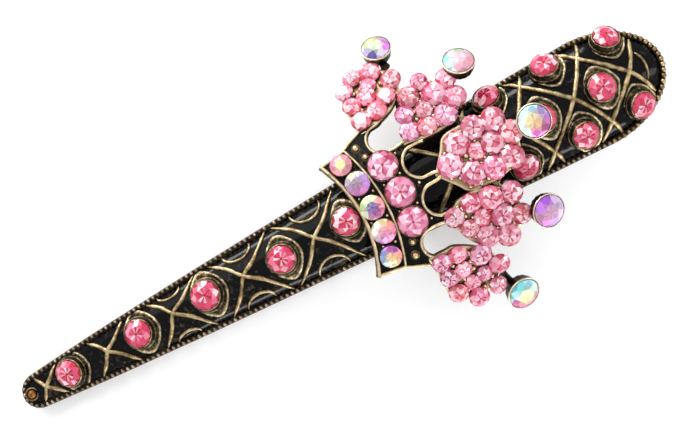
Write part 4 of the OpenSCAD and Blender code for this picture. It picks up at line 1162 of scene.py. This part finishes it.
def ab_stones():
    mb = Mesh()
    for i, (a, b, d) in enumerate(BAND):
        p, n = on_crown(a, b)
        gem(mb, p + n * 0.5, frame_on(n), d * CK * 1.03, rot=.15 * i, depth=0.5,
            tint=sector_painted_flashes(*AB_BAND_COAT_AND_REFLECTIONS[i], seed=i), top=0.17, rnd=random.Random(500 + i), table=0.47)
    mb.make("band_cut_stones", [AURORA, FOIL], UP, "aurora_glass", ["band_stones"], sharp=0)
    cups = Mesh()
    for i, (a, b, z, lean, d) in enumerate(POINTS):
        c, n = np.array([cx(a), cy(b), z]), unit(lean)
        axes = frame_on(n)
        mb = Mesh()
        gem(mb, c + n * 0.05, axes, d, rot=.1 + .2 * i, depth=0.38 * d, tint=sector_painted_flashes(*AB_POINT_COAT_AND_REFLECTIONS[i], seed=20 + i),
            top=0.17, rnd=random.Random(600 + i), table=0.50)
        mb.make(f"point_{i + 1}_cut_stone", [AURORA_SOFT if i < 2 else AURORA, FOIL], UP, "aurora_glass", [f"point_stone_{i + 1}"], sharp=0)
        r = d / 2
        flute = lambda t, h: 0.02 * math.sin(16 * t) * (1 if h < -0.2 else 0)
        revolve(cups, c, axes, [(0.5, -1.95, .2), (r - .45, -1.95, .4), (r - .22, -1.85, .35), (r - .08, -1.5, .15),
                                (r + .06, -0.8, .15), (r + .16, -0.3, .35), (r + .24, -0.12, .8), (r + .26, 0.0, 1.0),
                                (r + .20, 0.10, 1.0), (r + .10, 0.12, .8), (r + .02, 0.02, .3), (r * .95, -.25, .05),
                                (r * .4, -1.5, 0.0)], seg=56, wob=flute, cap0=True)
        fa, fb = FOOT[i]
        f = on_petal(i, fa, fb) - petal_n(i) * 0.85
        e = c - n * 1.6
        mid = (f + e) / 2 - np.array([0, 0, 0.15])
        path = spline([f, mid, e], 0.25)
        rows, wear = [], []
        for q in range(len(path)):
            t = unit(path[min(q + 1, len(path) - 1)] - path[max(q - 1, 0)])
            a1, a2, _ = frame_on(t, np.cross(t, [0.3, 0.2, 1.0]))
            k = 0.62 + 0.16 * abs(2 * q / (len(path) - 1) - 1) ** 2
            rows.append([path[q] + (a1 * math.cos(u) + a2 * math.sin(u)) * k for u in np.linspace(0, 2 * math.pi, 13)[:-1]])
            # painted light and shade on the stalk: lighter on the side facing down, darker on the side facing up
            wear.append([0.3 + 0.25 * math.sin(u) for u in np.linspace(0, 2 * math.pi, 13)[:-1]])
        cups.grid(rows, wear, cap0=True, cap1=True)
    cups.make("crown_point_cups", [DARK_RIM], UP, "antique_bronze", ["point_cups"], sharp=50)
    mb = Mesh()
    for a0, b0, a1, b1, k in STRUT:
        f, e = on_petal(k, a0, b0) - petal_n(k) * .45, on_petal(k, a1, b1) - petal_n(k) * .45
        t = unit(e - f)
        u1, u2, _ = frame_on(t, np.cross(t, [0.3, 0.2, 1.0]))
        rows, wear = [], []
        for q in range(9):
            s = q / 8
            r = 0.36 + 0.14 * (2 * s - 1) ** 2
            rows.append([f + (e - f) * s + (u1 * math.cos(u) + u2 * math.sin(u)) * r for u in np.linspace(0, 2 * math.pi, 13)[:-1]])
            wear.append([0.35] * 12)
        mb.grid(rows, wear, cap0=True, cap1=True)
    mb.make("crown_tie_struts", [DARK], UP, "antique_bronze", ["petal_struts"], sharp=50)


DARK_RIM = antique("point_cup_bronze", [(0.0, (0.012, 0.010, 0.008)), (0.4, (0.07, 0.052, 0.03)),
                                        (0.7, (0.40, 0.31, 0.18)), (0.9, (0.75, 0.62, 0.40)),
                                        (1.0, (0.9, 0.8, 0.58))], rough=(0.5, 0.22), grain=0.25)

shell()
milgrain()
enamel()
lattice()
stone_cups()
body_stones()
crown_plate()
crown_trim()
petals()
crown_stones()
ab_stones()


# ------------------------------------------------------------------ finding
def spring():
    """Round wire coil on the pin, with its two legs."""
    mb = Mesh()
    y0, y1, r, hz, n = -1.75, 1.75, 1.65, 5.2, 5
    path = [np.array(p, float) for p in spline([(10.5, y0, 1.35), (7.5, y0, 1.45), (4, y0, 2.2),
                                                (1.4, y0, 3.1), (0.45, y0, 3.55)], 0.4)[:-1]]
    for k in range(32 * n + 15):
        a, f = math.radians(-80 - k * 360 / 32), k / (32 * n + 14)
        path.append(np.array([r * math.cos(a), y0 + (y1 - y0) * f, hz + r * math.sin(a)]))
    path += [np.array(p, float) for p in spline([path[-1], (1.5, y1, 7.55), (3.6, y1, 8.4), (6.6, y1, 10.1),
                                                 (9.6, y1, 10.65)], 0.4)[1:]]
    rows = []
    for i, p in enumerate(path):
        t = unit(path[min(i + 1, len(path) - 1)] - path[max(i - 1, 0)])
        u = unit(np.cross([0, 1, 0], t))
        v = np.cross(t, u)
        rows.append([p + (u * math.cos(q) + v * math.sin(q)) * 0.33 for q in np.linspace(0, 2 * math.pi, 13)[:-1]])
    mb.grid(rows, cap0=True, cap1=True)
    me_ob = mb.make("coil_spring_wire", [SPRING], LOW, "spring_steel", ["torsion_spring"], sharp=70)
    me_ob.parent = None
    me_ob.matrix_world = Matrix.Identity(4)
    if "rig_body" in me_ob:
        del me_ob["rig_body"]
    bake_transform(me_ob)


spring()
CAD_MAT = {"lower_arm": FINDING, "upper_arm": FINDING, "hinge_pin": SPRING, "arm_posts": BRONZE, "crown_posts": DARK}
for name, mat in CAD_MAT.items():
    ob = frame["nodes"][name]
    for s in ob.material_slots:
        s.link = "OBJECT"
        s.material = mat

# ------------------------------------------------------------------ stage
bpy.ops.mesh.primitive_plane_add(size=3.0, location=(0, 0, 0))
floor = bpy.context.object
floor.name = "floor"
fm, fnt, fb = new_mat("white_table")
fb.inputs["Base Color"].default_value = (0.94, 0.94, 0.945, 1)
fb.inputs["Emission Color"].default_value = (1, 1, 1, 1)
fb.inputs["Emission Strength"].default_value = 0.12
fb.inputs["Roughness"].default_value = 0.6
fb.inputs["Specular IOR Level"].default_value = 0.2
floor.data.materials.append(fm)

world = bpy.data.worlds.new("studio")
bpy.context.scene.world = world
world.use_nodes = True
world.node_tree.nodes["Background"].inputs["Color"].default_value = (0.97, 0.98, 1.0, 1)
world.node_tree.nodes["Background"].inputs["Strength"].default_value = 0.88

AZ, EL = math.radians(-28.3), math.radians(89.0)
RIGHT = Vector((math.cos(AZ), math.sin(AZ), 0))
BACK = Vector((math.sin(AZ) * math.cos(EL), -math.cos(AZ) * math.cos(EL), math.sin(EL)))
UPV = BACK.cross(RIGHT)


def area(name, along, up, height, size, power, color=(1, 1, 1), aim=(-0.012, 0, 0.008), shape="RECTANGLE"):
    """A soft box placed by the photo's own directions: along the picture, up the picture, height."""
    d = bpy.data.lights.new(name, "AREA")
    d.shape = shape
    d.size, d.size_y = size
    d.energy = power
    d.color = color
    o = bpy.data.objects.new(name, d)
    bpy.context.scene.collection.objects.link(o)
    p = RIGHT * along + Vector((-RIGHT.y, RIGHT.x, 0)) * up + Vector((0, 0, height))
    o.location = p
    o.rotation_euler = (Vector(aim) - p).to_track_quat("-Z", "Y").to_euler()
    return o


area("key", -0.42, 0.42, 0.50, (0.55, 0.55), 1.9)
area("strip_high", -0.28, 0.53, 0.18, (0.55, 0.08), 2.8)
area("strip_low", 0.27, -0.50, 0.15, (0.55, 0.06), 1.5)
area("fill_right", 0.58, 0.10, 0.30, (0.10, 0.26), 0.4)

cam_data = bpy.data.cameras.new("camera")
cam = bpy.data.objects.new("camera", cam_data)
bpy.context.scene.collection.objects.link(cam)
bpy.context.scene.camera = cam
cam_data.lens = 121.4
cam_data.sensor_width = 36
cam_data.sensor_fit = "HORIZONTAL"
cam_data.clip_start, cam_data.clip_end = 0.01, 5
target = Vector((-0.0143, 0.001, 0.006)) + UPV * 0.0004
cam.location = target + BACK * 0.350
cam.rotation_euler = Matrix((RIGHT, UPV, BACK)).transposed().to_euler()

sc = bpy.context.scene
sc.view_settings.view_transform = "Standard"
sc.view_settings.look = "None"
